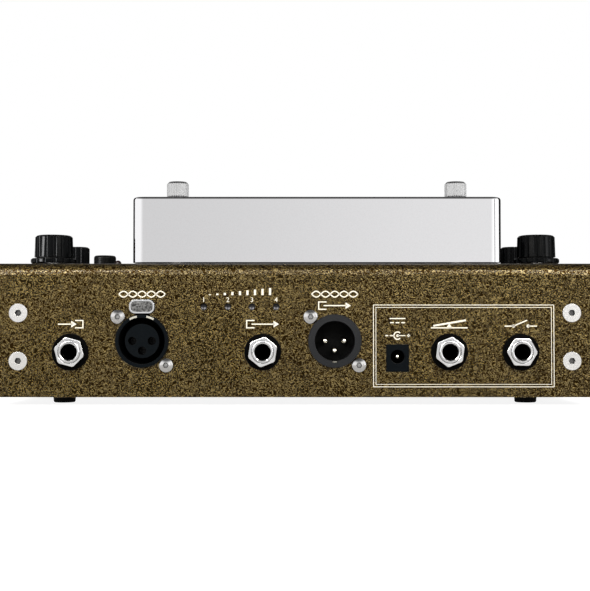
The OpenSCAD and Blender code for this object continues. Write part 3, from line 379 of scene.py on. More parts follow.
# %% Edge wear and dust
wear_group, given, made = effect("edge_wear", [("Width", 0.0004), ("Amount", 0.5)], ["Wear"])
soft_edge = add(wear_group, "ShaderNodeBevel", samples=4)
plug(wear_group, given["Width"], soft_edge.inputs["Radius"])
true_normal = add(wear_group, "ShaderNodeNewGeometry").outputs["Normal"]
likeness = vector_sum(wear_group, "DOT_PRODUCT", soft_edge.outputs[0], true_normal)
edge = spread(wear_group, likeness, 0.98, 0.8)
chips = spread(wear_group, noise(wear_group, surface_point(wear_group), 0.0016, detail=3), 0.42, 0.62)
plug(wear_group, product(wear_group, edge, chips, given["Amount"]), made["Wear"])

dust_group, given, made = effect("settled_dust", [("Amount", 0.3)], ["Dust"])
facing = add(dust_group, "ShaderNodeSeparateXYZ")
plug(dust_group, add(dust_group, "ShaderNodeNewGeometry").outputs["Normal"], facing.inputs[0])
looks_up = spread(dust_group, facing.outputs[2], 0.5, 0.98)
specks = noise(dust_group, surface_point(dust_group), 0.0009, detail=4, roughness=0.75)
specks = spread(dust_group, specks, 0.45, 0.75)
drift = spread(dust_group, noise(dust_group, surface_point(dust_group), 0.03, detail=2), 0.35, 0.7)
plug(dust_group, product(dust_group, specks, drift, looks_up, given["Amount"]), made["Dust"])
print("groups", wear_group.name, "and", dust_group.name)

# %% [markdown]
# Dirt stays where a cloth can't reach, and little light gets there either. Ambient occlusion measures
# how shut in a point is, and the mask follows it. Where it is 1 a finish darkens its colour, which is
# painted shade in the recesses along with some grime.

# %% Painted shade and grime in recesses
shade_and_grime_group, given, made = effect("recess_shade_and_grime", [("Reach", 0.0012), ("Amount", 0.8)], ["Grime"])
shut_in = add(shade_and_grime_group, "ShaderNodeAmbientOcclusion", samples=8)
plug(shade_and_grime_group, given["Reach"], shut_in.inputs["Distance"])
in_shade = spread(shade_and_grime_group, shut_in.outputs["AO"], 0.88, 0.32)
plug(shade_and_grime_group, product(shade_and_grime_group, in_shade, given["Amount"]), made["Grime"])
print("group", shade_and_grime_group.name)

# %% [markdown]
# A lathe leaves fine rings round its axis, and a brush leaves lines along its stroke. The rings are a
# noise in one dimension, along the path that the tool runs: the height on the axis plus the distance
# from it. The brush lines are a noise that is pulled long in one direction.

# %% Lathe rings and brush lines
lathe_inputs = [("Centre", (0, 0, 0)), ("Along", (0, 0, 1)), ("Pitch", 0.0003)]
lathe_group, given, made = effect("lathe_rings", lathe_inputs, ["Ring"])
offset = vector_sum(lathe_group, "SUBTRACT", surface_point(lathe_group), given["Centre"])
height_on_axis = vector_sum(lathe_group, "DOT_PRODUCT", offset, given["Along"])
outward = vector_sum(lathe_group, "CROSS_PRODUCT", offset, given["Along"])
path = sum_of(lathe_group, "ADD", height_on_axis, vector_sum(lathe_group, "LENGTH", outward))
tool_marks = add(lathe_group, "ShaderNodeTexNoise", noise_dimensions="1D")
plug(lathe_group, sum_of(lathe_group, "DIVIDE", path, given["Pitch"]), tool_marks.inputs["W"])
tool_marks.inputs["Scale"].default_value = 1.0
tool_marks.inputs["Detail"].default_value = 1.0
plug(lathe_group, tool_marks.outputs["Fac"], made["Ring"])

brush_group, given, made = effect("brush_lines", [("Stretch", (60, 4000, 4000))], ["Line"])
pulled = vector_sum(brush_group, "MULTIPLY", surface_point(brush_group), given["Stretch"])
plug(brush_group, noise(brush_group, pulled, 1.0, detail=2), made["Line"])
print("effects:", ", ".join(g.name for g in bpy.data.node_groups))


# %% [markdown]
# A finish starts from a colour, a gloss and a list of effects. This helper makes the material, places
# the shared groups with their own values, and leaves the shader's sockets open for the few finishes
# that need more, such as the hammer paint.


# %% The maker of finishes
def tone(colour):
    """A colour that covers fully."""
    return (*colour, 1)


class Finish:
    """A material whose colour, gloss and relief are built up effect by effect."""

    def __init__(self, name, colour, rough, metallic=0.0, specular=0.5):
        self.material = bpy.data.materials.new(name)
        self.material.use_nodes = True
        self.tree = self.material.node_tree
        self.tree.nodes.clear()
        self.shader = add(self.tree, "ShaderNodeBsdfPrincipled")
        surface = add(self.tree, "ShaderNodeOutputMaterial").inputs[0]
        self.tree.links.new(self.shader.outputs[0], surface)
        self.shader.inputs["Metallic"].default_value = metallic
        self.shader.inputs["Specular IOR Level"].default_value = specular
        self.colour = tone(colour)
        self.rough = rough
        self.height = None

    def place(self, group, **values):
        """Puts a shared effect in this material and gives its first output."""
        node = add(self.tree, "ShaderNodeGroup", node_tree=group)
        for label, value in values.items():
            node.inputs[label].default_value = value
        return node.outputs[0]

    def tint(self, mask, colour):
        """Blends the colour so far towards another one where the mask is 1."""
        mix = add(self.tree, "ShaderNodeMix", data_type="RGBA")
        plug(self.tree, mask, mix.inputs[0])
        plug(self.tree, self.colour, mix.inputs[6])
        plug(self.tree, tone(colour), mix.inputs[7])
        self.colour = mix.outputs[2]
        return self

    def gloss(self, mask, change):
        """Adds to the roughness where the mask is 1."""
        self.rough = sum_of(self.tree, "ADD", self.rough, product(self.tree, mask, change))
        return self

    def relief(self, mask, depth):
        """Raises the surface by a depth in metres where the mask is 1."""
        raised = product(self.tree, mask, depth)
        self.height = raised if self.height is None else sum_of(self.tree, "ADD", self.height, raised)
        return self

    def done(self):
        """Joins what was built up to the shader."""
        plug(self.tree, self.colour, self.shader.inputs["Base Color"])
        plug(self.tree, self.rough, self.shader.inputs["Roughness"])
        if self.height is not None:
            bump = add(self.tree, "ShaderNodeBump")
            bump.inputs["Strength"].default_value = 1.0
            bump.inputs["Distance"].default_value = 1.0
            plug(self.tree, self.height, bump.inputs["Height"])
            self.tree.links.new(bump.outputs[0], self.shader.inputs["Normal"])
        return self.material


finishes = {}

# %% [markdown]
# Hammer paint is a bronze lacquer with metal flake that draws together into islands as it dries, so
# pale worm-like ridges stand over dark brown. The ridges are contour lines of a soft noise, like the
# height lines on a map: they have an even width, wander, and close on themselves. The flake makes
# the paint partly metallic, so it mirrors the room in its own colour. Clear lacquer gathers on the
# ridges and gives them white glints.

# %% Hammer paint
WAVE_SIZE = 0.00135
CONTOUR_GAP = 0.115
RIDGE_HEIGHT = 0.00008
LACQUER = 0.65
hammer = Finish("hammer_paint", (0.0130, 0.0064, 0.0), rough=0.26, metallic=0.88, specular=0.2)
hammer.shader.inputs["Coat Roughness"].default_value = 0.16
paint = hammer.tree
point = surface_point(paint)
waves = noise(paint, point, WAVE_SIZE, detail=0.3, roughness=0.5, distortion=0.8)
level_gap = sum_of(paint, "PINGPONG", sum_of(paint, "SUBTRACT", waves, 0.5), CONTOUR_GAP)
ridge = spread(paint, level_gap, 0.068, 0.014)
plug(paint, spread(paint, ridge, 0, 1, 0.0, LACQUER), hammer.shader.inputs["Coat Weight"])
cloud = spread(paint, noise(paint, point, 0.012, detail=2), 0.3, 0.7, 0.8, 1.0)
hammer.tint(product(paint, ridge, cloud), (0.130, 0.094, 0.031))
hammer.tint(hammer.place(wear_group, Width=0.0006, Amount=0.35), (0.30, 0.25, 0.16))
hammer.tint(hammer.place(dust_group, Amount=0.25), (0.30, 0.28, 0.24))
hammer.gloss(hammer.place(smudge_group, Size=0.03), 0.10)
hammer.relief(ridge, RIDGE_HEIGHT)
finishes["hammer_paint"] = hammer.done()
print("hammer paint: waves of", WAVE_SIZE / MM, "mm, ridges", RIDGE_HEIGHT / MM, "mm high")


# %% [markdown]
# Most of the other finishes are one of three kinds: plated metal, bare brushed metal, and moulded
# plastic or rubber. Each kind is a short function, and the call for each slot gives its colour and
# gloss.


# %% Metals
def plated(name, colour, rough, smear=0.08, wear=0.0, shade_and_grime=0.9, reach=0.0012):
    """Bright plating with a faint haze, finger smears, dull edges, and painted shade with some grime in
    recesses.
    """
    f = Finish(name, colour, rough, metallic=1.0)
    grain = f.place(grain_group, Size=0.0004)
    f.tint(product(f.tree, grain, 0.12), [0.75 * c for c in colour])
    f.gloss(f.place(smudge_group, Size=0.009), smear).gloss(grain, 0.03)
    f.tint(f.place(wear_group, Width=0.00025, Amount=wear), [0.55 * c for c in colour])
    f.tint(f.place(dust_group, Amount=0.12), (0.45, 0.43, 0.40))
    # Painted shade: the colour goes nearly black where ambient occlusion finds a recess, with some
    # grime.
    f.tint(f.place(shade_and_grime_group, Reach=reach, Amount=shade_and_grime), (0.012, 0.012, 0.012))
    finishes[name] = f.done()
    return f


def brushed(name, colour, rough, stretch=(80, 5000, 5000), depth=0.000004):
    """Bare metal with lines that run one way."""
    f = Finish(name, colour, rough, metallic=1.0)
    line = f.place(brush_group, Stretch=stretch)
    f.tint(product(f.tree, line, 0.3), [0.72 * c for c in colour])
    f.gloss(line, 0.12).gloss(f.place(smudge_group, Size=0.02), 0.08)
    f.relief(line, depth)
    f.tint(f.place(dust_group, Amount=0.18), (0.40, 0.38, 0.35))
    finishes[name] = f.done()


# shade_and_grime and reach set the painted shade: dark hex sockets in the screws, dark contacts deep in
# the sockets, and a dark shade line along the cover's foot and round its thumb screws.
plated("screw_steel", (0.68, 0.67, 0.66), 0.22, wear=0.3, reach=0.004)
plated("nickel", (0.80, 0.80, 0.81), 0.10, wear=0.15, shade_and_grime=0.6, reach=0.0009)
knurled = plated("knurled_nickel", (0.70, 0.70, 0.70), 0.36, shade_and_grime=0.4, reach=0.0009).material
plated("cover_chrome", (0.77, 0.765, 0.775), 0.04, smear=0.03, shade_and_grime=0.75, reach=0.0016)
plated("contact_metal", (0.80, 0.77, 0.66), 0.16, shade_and_grime=1.0, reach=0.008)
plated("pulley_brass", (0.72, 0.52, 0.22), 0.20)
plated("bronze", (0.55, 0.36, 0.16), 0.42)
brushed("shaft_metal", (0.66, 0.66, 0.67), 0.28, (5000, 5000, 80))
brushed("deck_metal", (0.68, 0.69, 0.70), 0.30)
brushed("head_metal", (0.60, 0.60, 0.62), 0.26, (400, 400, 3000))
brushed("bracket_metal", (0.14, 0.14, 0.15), 0.42)
brushed("motor_metal", (0.55, 0.55, 0.57), 0.30, (300, 300, 4000))
print(len(finishes), "finishes so far")


# %% Plastics, rubber and paint
def moulded(name, colour, rough, specular=0.4, grain_size=0.0004, depth=0.00001, wear=0.3, reach=0.002):
    """Moulded plastic or satin paint: fine grain, finger marks, paler edges, some dust, and painted
    shade with some grime in recesses.
    """
    f = Finish(name, colour, rough, specular=specular)
    grain = f.place(grain_group, Size=grain_size)
    f.tint(product(f.tree, grain, 0.5), [1.8 * c + 0.0005 for c in colour])
    f.gloss(f.place(smudge_group, Size=0.014), 0.12)
    f.tint(f.place(wear_group, Width=0.0003, Amount=wear), [min(1, 2.2 * c + 0.03) for c in colour])
    f.tint(f.place(dust_group, Amount=0.22), (0.26, 0.25, 0.23))
    # Painted shade: the colour goes nearly black in recesses, with some grime, and the gloss dulls
    # there.
    shade_and_grime = f.place(shade_and_grime_group, Reach=reach, Amount=0.9)
    f.tint(shade_and_grime, (0.0008, 0.0008, 0.0008)).gloss(shade_and_grime, 0.45)
    f.relief(grain, depth)
    finishes[name] = f.done()
    return f


# reach sets how far the painted shade spreads into a recess; the sockets take a long reach, so their
# cups and holes go dark.
moulded("base_paint", (0.020, 0.020, 0.021), 0.45, depth=0.00002)
moulded("foot_rubber", (0.010, 0.010, 0.010), 0.75, specular=0.25, depth=0.00002)
moulded("socket_black", (0.0010, 0.0017, 0.0024), 0.30, specular=0.045, wear=0.15, reach=0.009)
moulded("socket_grey", (0.0068, 0.0072, 0.0082), 0.32, specular=0.14, wear=0.2, reach=0.010)
moulded("washer_black", (0.0008, 0.0008, 0.0008), 0.55, specular=0.012, wear=0.03)
moulded("trimmer_blue", (0.012, 0.045, 0.22), 0.28)
moulded("component_black", (0.012, 0.012, 0.013), 0.40)
moulded("knob_black", (0.0006, 0.0007, 0.0008), 0.12, specular=0.05, depth=0.000002, wear=0.05)
switch = moulded("switch_blue", (0.010, 0.022, 0.10), 0.25)
moulded("cap_black", (0.0010, 0.0010, 0.0010), 0.28, specular=0.035, wear=0.05)
moulded("belt_rubber", (0.009, 0.009, 0.009), 0.65, specular=0.3)
print(len(finishes), "finishes so far")

# %% [markdown]
# A trimmer is turned with a small screwdriver through a hole in the panel. The end of its metal shaft
# is dished to guide the blade, so a glint sits low in each hole. The four stand in a row at an even
# pitch, so one material does for all: a bump that grows with the squared distance from the nearest
# axis.

# %% Trimmer shafts
DISH = 225
joints = frame["record"]["behaviour"]["joints"]
trimmers = [joint for joint in joints if joint["name"].startswith("trim_")]
first_x, trimmer_z = trimmers[0]["pos_m"][0], trimmers[0]["pos_m"][2]
half_pitch = (trimmers[1]["pos_m"][0] - first_x) / 2
dished = Finish("trimmer_shaft", (0.035, 0.035, 0.038), rough=0.25, metallic=1.0)
shaft = dished.tree
place = add(shaft, "ShaderNodeSeparateXYZ")
plug(shaft, surface_point(shaft), place.inputs[0])
from_first = sum_of(shaft, "SUBTRACT", place.outputs[0], first_x)
sideways = sum_of(shaft, "WRAP", from_first, half_pitch, -half_pitch)
above = sum_of(shaft, "SUBTRACT", place.outputs[2], trimmer_z)
bowl = sum_of(shaft, "ADD", sum_of(shaft, "POWER", sideways, 2), sum_of(shaft, "POWER", above, 2))
dished.relief(bowl, DISH)
finishes["trimmer_shaft"] = dished.done()
print(len(trimmers), "trimmer shafts at a pitch of", round(2 * half_pitch / MM, 2), "mm")


# %% [markdown]
# A footswitch has a blue plastic body under the panel and a plated neck above it. Both are one solid,
# so its finish changes at the height of the panel.


# %% Plated necks of the footswitches
def between(f, axis, low, high, blend=0.0001):
    """A mask that is 1 where an object coordinate lies between two values in metres."""
    parts = add(f.tree, "ShaderNodeSeparateXYZ")
    plug(f.tree, surface_point(f.tree), parts.inputs[0])
    over = spread(f.tree, parts.outputs[axis], low - blend, low + blend)
    under = spread(f.tree, parts.outputs[axis], high + blend, high - blend)
    return product(f.tree, over, under)


CASE_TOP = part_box("case_shell")[1].z
PANEL_THICKNESS = 0.001
neck = between(switch, 2, CASE_TOP - PANEL_THICKNESS, 1.0)
switch.tint(neck, (0.70, 0.70, 0.71))
plug(switch.tree, switch.colour, switch.shader.inputs["Base Color"])
plug(switch.tree, neck, switch.shader.inputs["Metallic"])
print("switch necks start", round((CASE_TOP - PANEL_THICKNESS) / MM, 1), "mm up")

# %% [markdown]
# A circuit board is glass fibre under green lacquer, and its copper tracks show through as paler
# lines. A brick pattern draws them: the joints between the bricks are the tracks.

# %% Circuit boards
board = Finish("board_green", (0.008, 0.052, 0.020), rough=0.22, specular=0.5)
bricks = add(board.tree, "ShaderNodeTexBrick", offset=0.35, squash=1.0)
plug(board.tree, surface_point(board.tree), bricks.inputs["Vector"])
bricks.inputs["Scale"].default_value = 260
bricks.inputs["Mortar Size"].default_value = 0.06
bricks.inputs["Color1"].default_value = (0, 0, 0, 1)
bricks.inputs["Color2"].default_value = (0, 0, 0, 1)
bricks.inputs["Mortar"].default_value = (1, 1, 1, 1)
board.tint(bricks.outputs["Color"], (0.030, 0.130, 0.050))
board.gloss(board.place(smudge_group, Size=0.02), 0.15)
board.tint(board.place(dust_group, Amount=0.3), (0.26, 0.25, 0.23))
finishes["board_green"] = board.done()
print("board tracks about", round(1 / 260 / MM, 1), "mm apart")

# %% [markdown]
# The drum is turned from light metal and carries a band of dark magnetic oxide round its rim, on
# which the heads write and read. The band is a mask: far enough from the axis, and between two
# heights. Oxide isn't a metal, so the mask also takes the metallic look away.

# %% Recording drum
BAND_LOW, BAND_HIGH = 0.0135, 0.0015
drum_low, drum_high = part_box("drum")
drum_centre = (drum_low + drum_high) / 2
DRUM_RADIUS = (drum_high.x - drum_low.x) / 2
drum = Finish("drum_metal", (0.66, 0.65, 0.62), rough=0.26, metallic=1.0)
ring = drum.place(lathe_group, Centre=drum_centre, Pitch=0.00035)
drum.tint(product(drum.tree, ring, 0.35), (0.44, 0.43, 0.41))
drum.gloss(ring, 0.10).relief(ring, 0.000006)
on_plan = vector_sum(drum.tree, "MULTIPLY", surface_point(drum.tree), (1, 1, 0))
from_axis = vector_sum(drum.tree, "DISTANCE", on_plan, (drum_centre.x, drum_centre.y, 0))
outside = spread(drum.tree, from_axis, DRUM_RADIUS - 0.0004, DRUM_RADIUS - 0.0002)
band = between(drum, 2, drum_high.z - BAND_LOW, drum_high.z - BAND_HIGH)
oxide = product(drum.tree, outside, band)
drum.tint(oxide, (0.030, 0.014, 0.008)).gloss(oxide, 0.08)
plug(drum.tree, sum_of(drum.tree, "SUBTRACT", 1.0, oxide), drum.shader.inputs["Metallic"])
finishes["drum_metal"] = drum.done()
print("oxide band", round((BAND_LOW - BAND_HIGH) / MM, 1), "mm high on a drum of radius",
      round(DRUM_RADIUS / MM, 1), "mm")

# %% [markdown]
# The lamps are small red lenses. They are unlit, so they are a red that is nearly black.

# %% Lamps
lens = Finish("lamp_red", (0.007, 0.0007, 0.0007), rough=0.08, specular=0.25)
lens.gloss(lens.place(smudge_group, Size=0.004), 0.08)
finishes["lamp_red"] = lens.done()
print(len(finishes), "finishes")

# %% [markdown]
# The record names a finish slot for each solid, so one loop dresses them all. The thumb screws are
# in the nickel slot like the nuts, but they are knurled, so they take the rougher nickel.

# %% Every solid takes the finish of its slot
for row in frame["record"]["subparts"]:
    is_knurled = row["node"].startswith("thumb_screw")
    solid = nodes[row["node"]]
    solid.data.materials.clear()
    solid.data.materials.append(knurled if is_knurled else finishes[row["material_slot"]])

# %% [markdown]
# No real edge is perfectly sharp: a cut sheet is broken with a file, a moulding has a radius where
# its two halves meet, and a turned nut is tumbled. A narrow bevel on the finished solids lets every
# edge catch a thin line of light. The solids come with their points split along the creases, so a
# weld joins them before the bevel.

# %% Broken edges
SHEET_EDGE, SMALL_EDGE = 0.25, 0.12
WELD_REACH, SHARP_TURN = 0.002, 40
EDGE = {SHEET_EDGE: ["rear_panel", "case_shell", "left_cheek", "right_cheek"],
        SMALL_EDGE: ["base_plate", "dc_socket", "xlr_output_shell", "xlr_input_shell", "xlr_input_latch",
                     "jack_nuts", "jack_washers", "case_screws", "deck_plate", "drum_heads",
                     "head_brackets"]}
for width, names in EDGE.items():
    for name in names:
        weld = nodes[name].modifiers.new("weld", "WELD")
        weld.merge_threshold = WELD_REACH * MM
        bevel = nodes[name].modifiers.new("broken_edge", "BEVEL")
        bevel.width = width * MM
        bevel.segments = 2
        bevel.limit_method = "ANGLE"
        bevel.angle_limit = math.radians(SHARP_TURN)
        even = nodes[name].modifiers.new("even_shading", "WEIGHTED_NORMAL")
        even.keep_sharp = True
print("edges broken on", sum(len(names) for names in EDGE.values()), "solids")


# %% [markdown]
# The lettering of a real unit is screen-printed: cream ink pushed through a mesh, a film that stands
# just proud of the paint. Here each mark is a closed plate a twentieth of a millimetre thick. Marks
# are drawn in millimetres on a flat face, to the right and up as a reader sees that face.


# %% A pen that draws thin plates
def arc(x, y, radius, start, end, steps):
    """Points on a circle, from one angle to another in degrees."""
    turns = [math.radians(start + (end - start) * i / steps) for i in range(steps + 1)]
    return [(x + radius * math.cos(t), y + radius * math.sin(t)) for t in turns]


class Print:
    """Marks that lie on one flat face, gathered into one mesh."""

    def __init__(self, place, right, up, depth=0.05):
        self.depth = depth
        self.mesh = bmesh.new()
        self.move(place, right, up)

    def move(self, place, right, up):
        """Goes on drawing on another face."""
        self.place, self.right, self.up = Vector(place), Vector(right), Vector(up)
        self.out = self.right.cross(self.up)

    def corner(self, x, y, raised):
        """A new point, at a place on the face and a height above it."""
        spot = self.place + self.right * x + self.up * y + self.out * raised
        return self.mesh.verts.new(spot * MM)

    def plate(self, outline):
        """A filled shape with the given corners."""
        top = [self.corner(x, y, self.depth) for x, y in outline]
        foot = [self.corner(x, y, 0) for x, y in outline]
        self.mesh.faces.new(top)
        self.mesh.faces.new(foot)
        for i in range(len(outline)):
            self.mesh.faces.new((top[i - 1], foot[i - 1], foot[i], top[i]))

    def line(self, points, width, closed=False):
        """A stroke of even width with mitred bends."""
        rows = []
        for i, point in enumerate(points):
            here = Vector(point)
            last = i == len(points) - 1
            ahead = Vector(points[(i + 1) % len(points)]) - here
            back = here - Vector(points[i - 1])
            way_in = back if closed or i > 0 else ahead
            way_out = ahead if closed or not last else back
            first, second = (Vector((-w.y, w.x)).normalized() for w in (way_in, way_out))
            middle = (first + second).normalized()
            reach = middle * (width / 2 / middle.dot(first))
            rows.append([self.corner(*spot, raised) for spot in (here - reach, here + reach)
                         for raised in (self.depth, 0)])
        for i in range(0 if closed else 1, len(rows)):
            a, b = rows[i - 1], rows[i]
            for m, n in ((0, 2), (2, 3), (3, 1), (1, 0)):
                self.mesh.faces.new((a[m], b[m], b[n], a[n]))
        if not closed:
            for row in (rows[0], rows[-1]):
                self.mesh.faces.new((row[0], row[2], row[3], row[1]))

    def disc(self, x, y, radius):
        """A filled circle."""
        self.plate(arc(x, y, radius, 0, 360, 20)[:-1])

    def arrow(self, start, tip, y, width):
        """A level arrow from start to tip, whichever way that is."""
        way = 1 if tip > start else -1
        head_foot = tip - 2.2 * way
        self.line([(start, y), (tip - 1.6 * way, y)], width)
        self.plate([(tip, y), (head_foot, y + 1.35), (head_foot, y - 1.35)])

    def figure(self, digits, x, y, height):
        """Figures in the plain built-in typeface, centred on a point."""
        curve = bpy.data.curves.new("figure", "FONT")
        curve.body = digits
        curve.align_x, curve.align_y = "CENTER", "CENTER"
        curve.extrude = 0.5
        curve.resolution_u = 3
        holder = bpy.data.objects.new("figure", curve)
        mesh = bpy.data.meshes.new_from_object(holder)
        tall = max(v.co.y for v in mesh.vertices) - min(v.co.y for v in mesh.vertices)
        scale = height / tall
        spots = [self.corner(x + v.co.x * scale, y + v.co.y * scale, self.depth * (v.co.z + 0.5))
                 for v in mesh.vertices]
        for face in mesh.polygons:
            self.mesh.faces.new([spots[i] for i in face.vertices])
        bpy.data.objects.remove(holder)
        bpy.data.meshes.remove(mesh)

    def done(self, name, body, material):
        """Closes the mesh and hangs it on a body."""
        bmesh.ops.remove_doubles(self.mesh, verts=self.mesh.verts, dist=0.0005 * MM)
        bmesh.ops.recalc_face_normals(self.mesh, faces=self.mesh.faces)
        mesh = bpy.data.meshes.new(name)
        self.mesh.to_mesh(mesh)
        self.mesh.free()
        mesh.materials.append(material)
        piece = bpy.data.objects.new(name, mesh)
        bpy.context.scene.collection.objects.link(piece)
        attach(piece, body)
        print(name, "has", len(mesh.polygons), "faces and rides", body)
        return piece


# %% [markdown]
# Screen ink dries matt, with a slight mottle where the mesh lay.

# %% Cream ink
ink = Finish("cream_ink", (0.56, 0.535, 0.475), rough=0.5, specular=0.3)
mottle = ink.place(grain_group, Size=0.0003)
ink.tint(product(ink.tree, mottle, 0.35), (0.36, 0.34, 0.28))
ink.gloss(ink.place(smudge_group, Size=0.02), 0.12)
cream_ink = ink.done()
print("finish", cream_ink.name)

# %% [markdown]
# The marks on the rear panel tell a player what each socket is for without words: an arrow into a
# box for an input and out of it for an output, a twisted pair for a balanced line, a rising row of
# bars over the level trimmers, and the usual signs for direct current and its polarity. A double
# frame joins the three sockets that belong to power and remote control.

# %% Rear print
STROKE = 0.45
LABEL_RISE = 11.4
PAIR_HEIGHT, OUT_HEIGHT = 45.6, 40.9
BOX_DEPTH, BOX_HALF = 3.2, 1.5
socket = {mount["name"]: [v / MM for v in mount["pos_m"]] for mount in frame["record"]["mounts"]}


def open_box(sheet, back, mouth, y):
    """Three sides of a box, from its back to its open mouth."""
    top, foot = y + BOX_HALF, y - BOX_HALF
    sheet.line([(mouth, top), (back, top), (back, foot), (mouth, foot)], STROKE)


def into_box(sheet, x, y, half):
    """An arrow that enters a box from the left."""
    sheet.arrow(x - half, x + half - 2.6, y, STROKE)
    open_box(sheet, x + half, x + half - BOX_DEPTH, y)


def out_of_box(sheet, x, y, half):
    """An arrow that leaves a box to the right."""
    sheet.arrow(x - half + 2.0, x + half, y, STROKE)
    open_box(sheet, x - half, x - half + BOX_DEPTH, y)


def balanced_pair(sheet, x, y, half):
    """Two wires twisted round each other, which is how a balanced line runs in its cable."""
    steps, turns = 60, 2.5
    for s in (-1, 1):
        wire = [(x + half * (2 * i / steps - 1), y + 1.2 * s * math.sin(2 * math.pi * turns * i / steps))
                for i in range(steps + 1)]
        sheet.line(wire, STROKE)


rear = Print((0, REAR_Y, 0), (1, 0, 0), (0, 0, 1))
jack_label = socket["input_jack"][2] + LABEL_RISE
into_box(rear, socket["input_jack"][0], jack_label, 5.1)
out_of_box(rear, socket["output_jack"][0], jack_label, 6.6)
balanced_pair(rear, socket["balanced_input"][0], PAIR_HEIGHT, 9.5)
balanced_pair(rear, socket["balanced_output"][0], PAIR_HEIGHT, 9.5)
out_of_box(rear, socket["balanced_output"][0], OUT_HEIGHT, 6.6)
rear.done("socket_print", "case", cream_ink)

# %% [markdown]
# Over the four trimmers stand their numbers, and above these a row of bars that rises from left to
# right, the usual sign for a level.

# %% Print over the trimmers
BARS, BAR_FOOT, BAR_RISE = 9, 45.2, 2.9
NUMBER_HEIGHT = 43.2
levels = Print((0, REAR_Y, 0), (1, 0, 0), (0, 0, 1))
for number, joint in enumerate(trimmers, 1):
    levels.figure(str(number), joint["pos_m"][0] / MM, NUMBER_HEIGHT, 1.9)
first, last = (trimmers[i]["pos_m"][0] / MM for i in (0, -1))
for i in range(BARS):
    x = first + 2.5 + (last - first - 5) * i / (BARS - 1)
    levels.line([(x, BAR_FOOT), (x, BAR_FOOT + BAR_RISE * (i + 1) / BARS)], 0.9)
levels.done("level_print", "case", cream_ink)


# %% [markdown]
# In the double frame, the power socket has a line over three dashes, which means direct current, and
# below it a ring and a dot with a minus and a plus, which say which pole is inside. A foot pedal
# stands over the socket for a pedal, and an open switch over the one for a footswitch.


# %% Frame and signs of the power socket
FRAME_LEFT, FRAME_RIGHT, FRAME_LOW, FRAME_HIGH = 31.9, 106.3, 7.4, 41.4
DC_LINE, DC_DASHES, POLARITY = 35.6, 33.9, 28.6
THIN = 0.35


def bar(sheet, x, y, start, end, width=STROKE):
    """A level stroke between two distances from a point."""
    sheet.line([(x + start, y), (x + end, y)], width)


group = Print((0, REAR_Y, 0), (1, 0, 0), (0, 0, 1))
for inset, width in ((0.25, 0.28), (1.25, 0.21)):
    left, right = FRAME_LEFT + inset, FRAME_RIGHT - inset
    foot, top = FRAME_LOW + inset, FRAME_HIGH - inset
    group.line([(left, foot), (right, foot), (right, top), (left, top)], width, closed=True)
power_x = socket["power_inlet"][0]
bar(group, power_x, DC_LINE, -3.2, 3.2)
for s in (-1, 0, 1):
    bar(group, power_x + 2.3 * s, DC_DASHES, -0.75, 0.75)
bar(group, power_x, POLARITY, -5.0, -3.9)
bar(group, power_x, POLARITY, -3.2, -1.5, THIN)
group.line(arc(power_x, POLARITY, 1.5, 45, 315, 16), STROKE)
group.disc(power_x, POLARITY, 0.55)
bar(group, power_x, POLARITY, 0, 3.2, THIN)
bar(group, power_x, POLARITY, 3.9, 5.1)
group.line([(power_x + 4.5, POLARITY - 0.6), (power_x + 4.5, POLARITY + 0.6)], STROKE)
print("frame", round(FRAME_RIGHT - FRAME_LEFT, 1), "by", round(FRAME_HIGH - FRAME_LOW, 1), "mm")

# %% Signs of the two remote sockets
pedal_x = socket["expression_jack"][0]
bar(group, pedal_x, jack_label - 1.5, -7.5, 7.5)
group.line([(pedal_x - 6.5, jack_label - 0.7), (pedal_x + 6.8, jack_label + 1.6)], 0.7)
hinge = jack_label - 1.4
group.plate([(pedal_x - 1.1, hinge), (pedal_x + 1.1, hinge), (pedal_x, jack_label + 0.3)])
bypass_x = socket["bypass_jack"][0]
contact = jack_label - 0.8
bar(group, bypass_x, contact, -6.6, -3.0)
group.line([(bypass_x - 3.0, contact), (bypass_x + 2.6, jack_label + 1.6)], STROKE)
bar(group, bypass_x, contact, 3.0, 6.6)
for s in (-1, 1):
    group.disc(bypass_x + 3.0 * s, contact, 0.65)
group.done("group_print", "case", cream_ink)

# %% [markdown]
# Round each knob stands a scale from 0 to 10 for the player, who stands at the far side from the
# sockets, so the figures read upright from there. A knob turns 300 degrees, so eleven ticks are 30
# degrees apart. The knobs' pointers are grooves filled with white paint, up to a black stop near
# the rim.

# %% Scales round the knobs, and their white pointers
white = Finish("pointer_white", (0.78, 0.78, 0.76), rough=0.4, specular=0.3)
mottle = white.place(grain_group, Size=0.0003)
white.tint(product(white.tree, mottle, 0.25), (0.55, 0.55, 0.52))
white.gloss(white.place(smudge_group, Size=0.006), 0.15)
pointer_white = white.done()
TOP_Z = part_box("case_shell")[1].z / MM
SWEEP = 150
LARGE_KNOB = 8
GROOVE_START, GROOVE_DEPTH, FILL_DEPTH, STOP = 1.3, 0.4, 0.3, 0.5
FROM_FRONT = ((-1, 0, 0), (0, -1, 0))

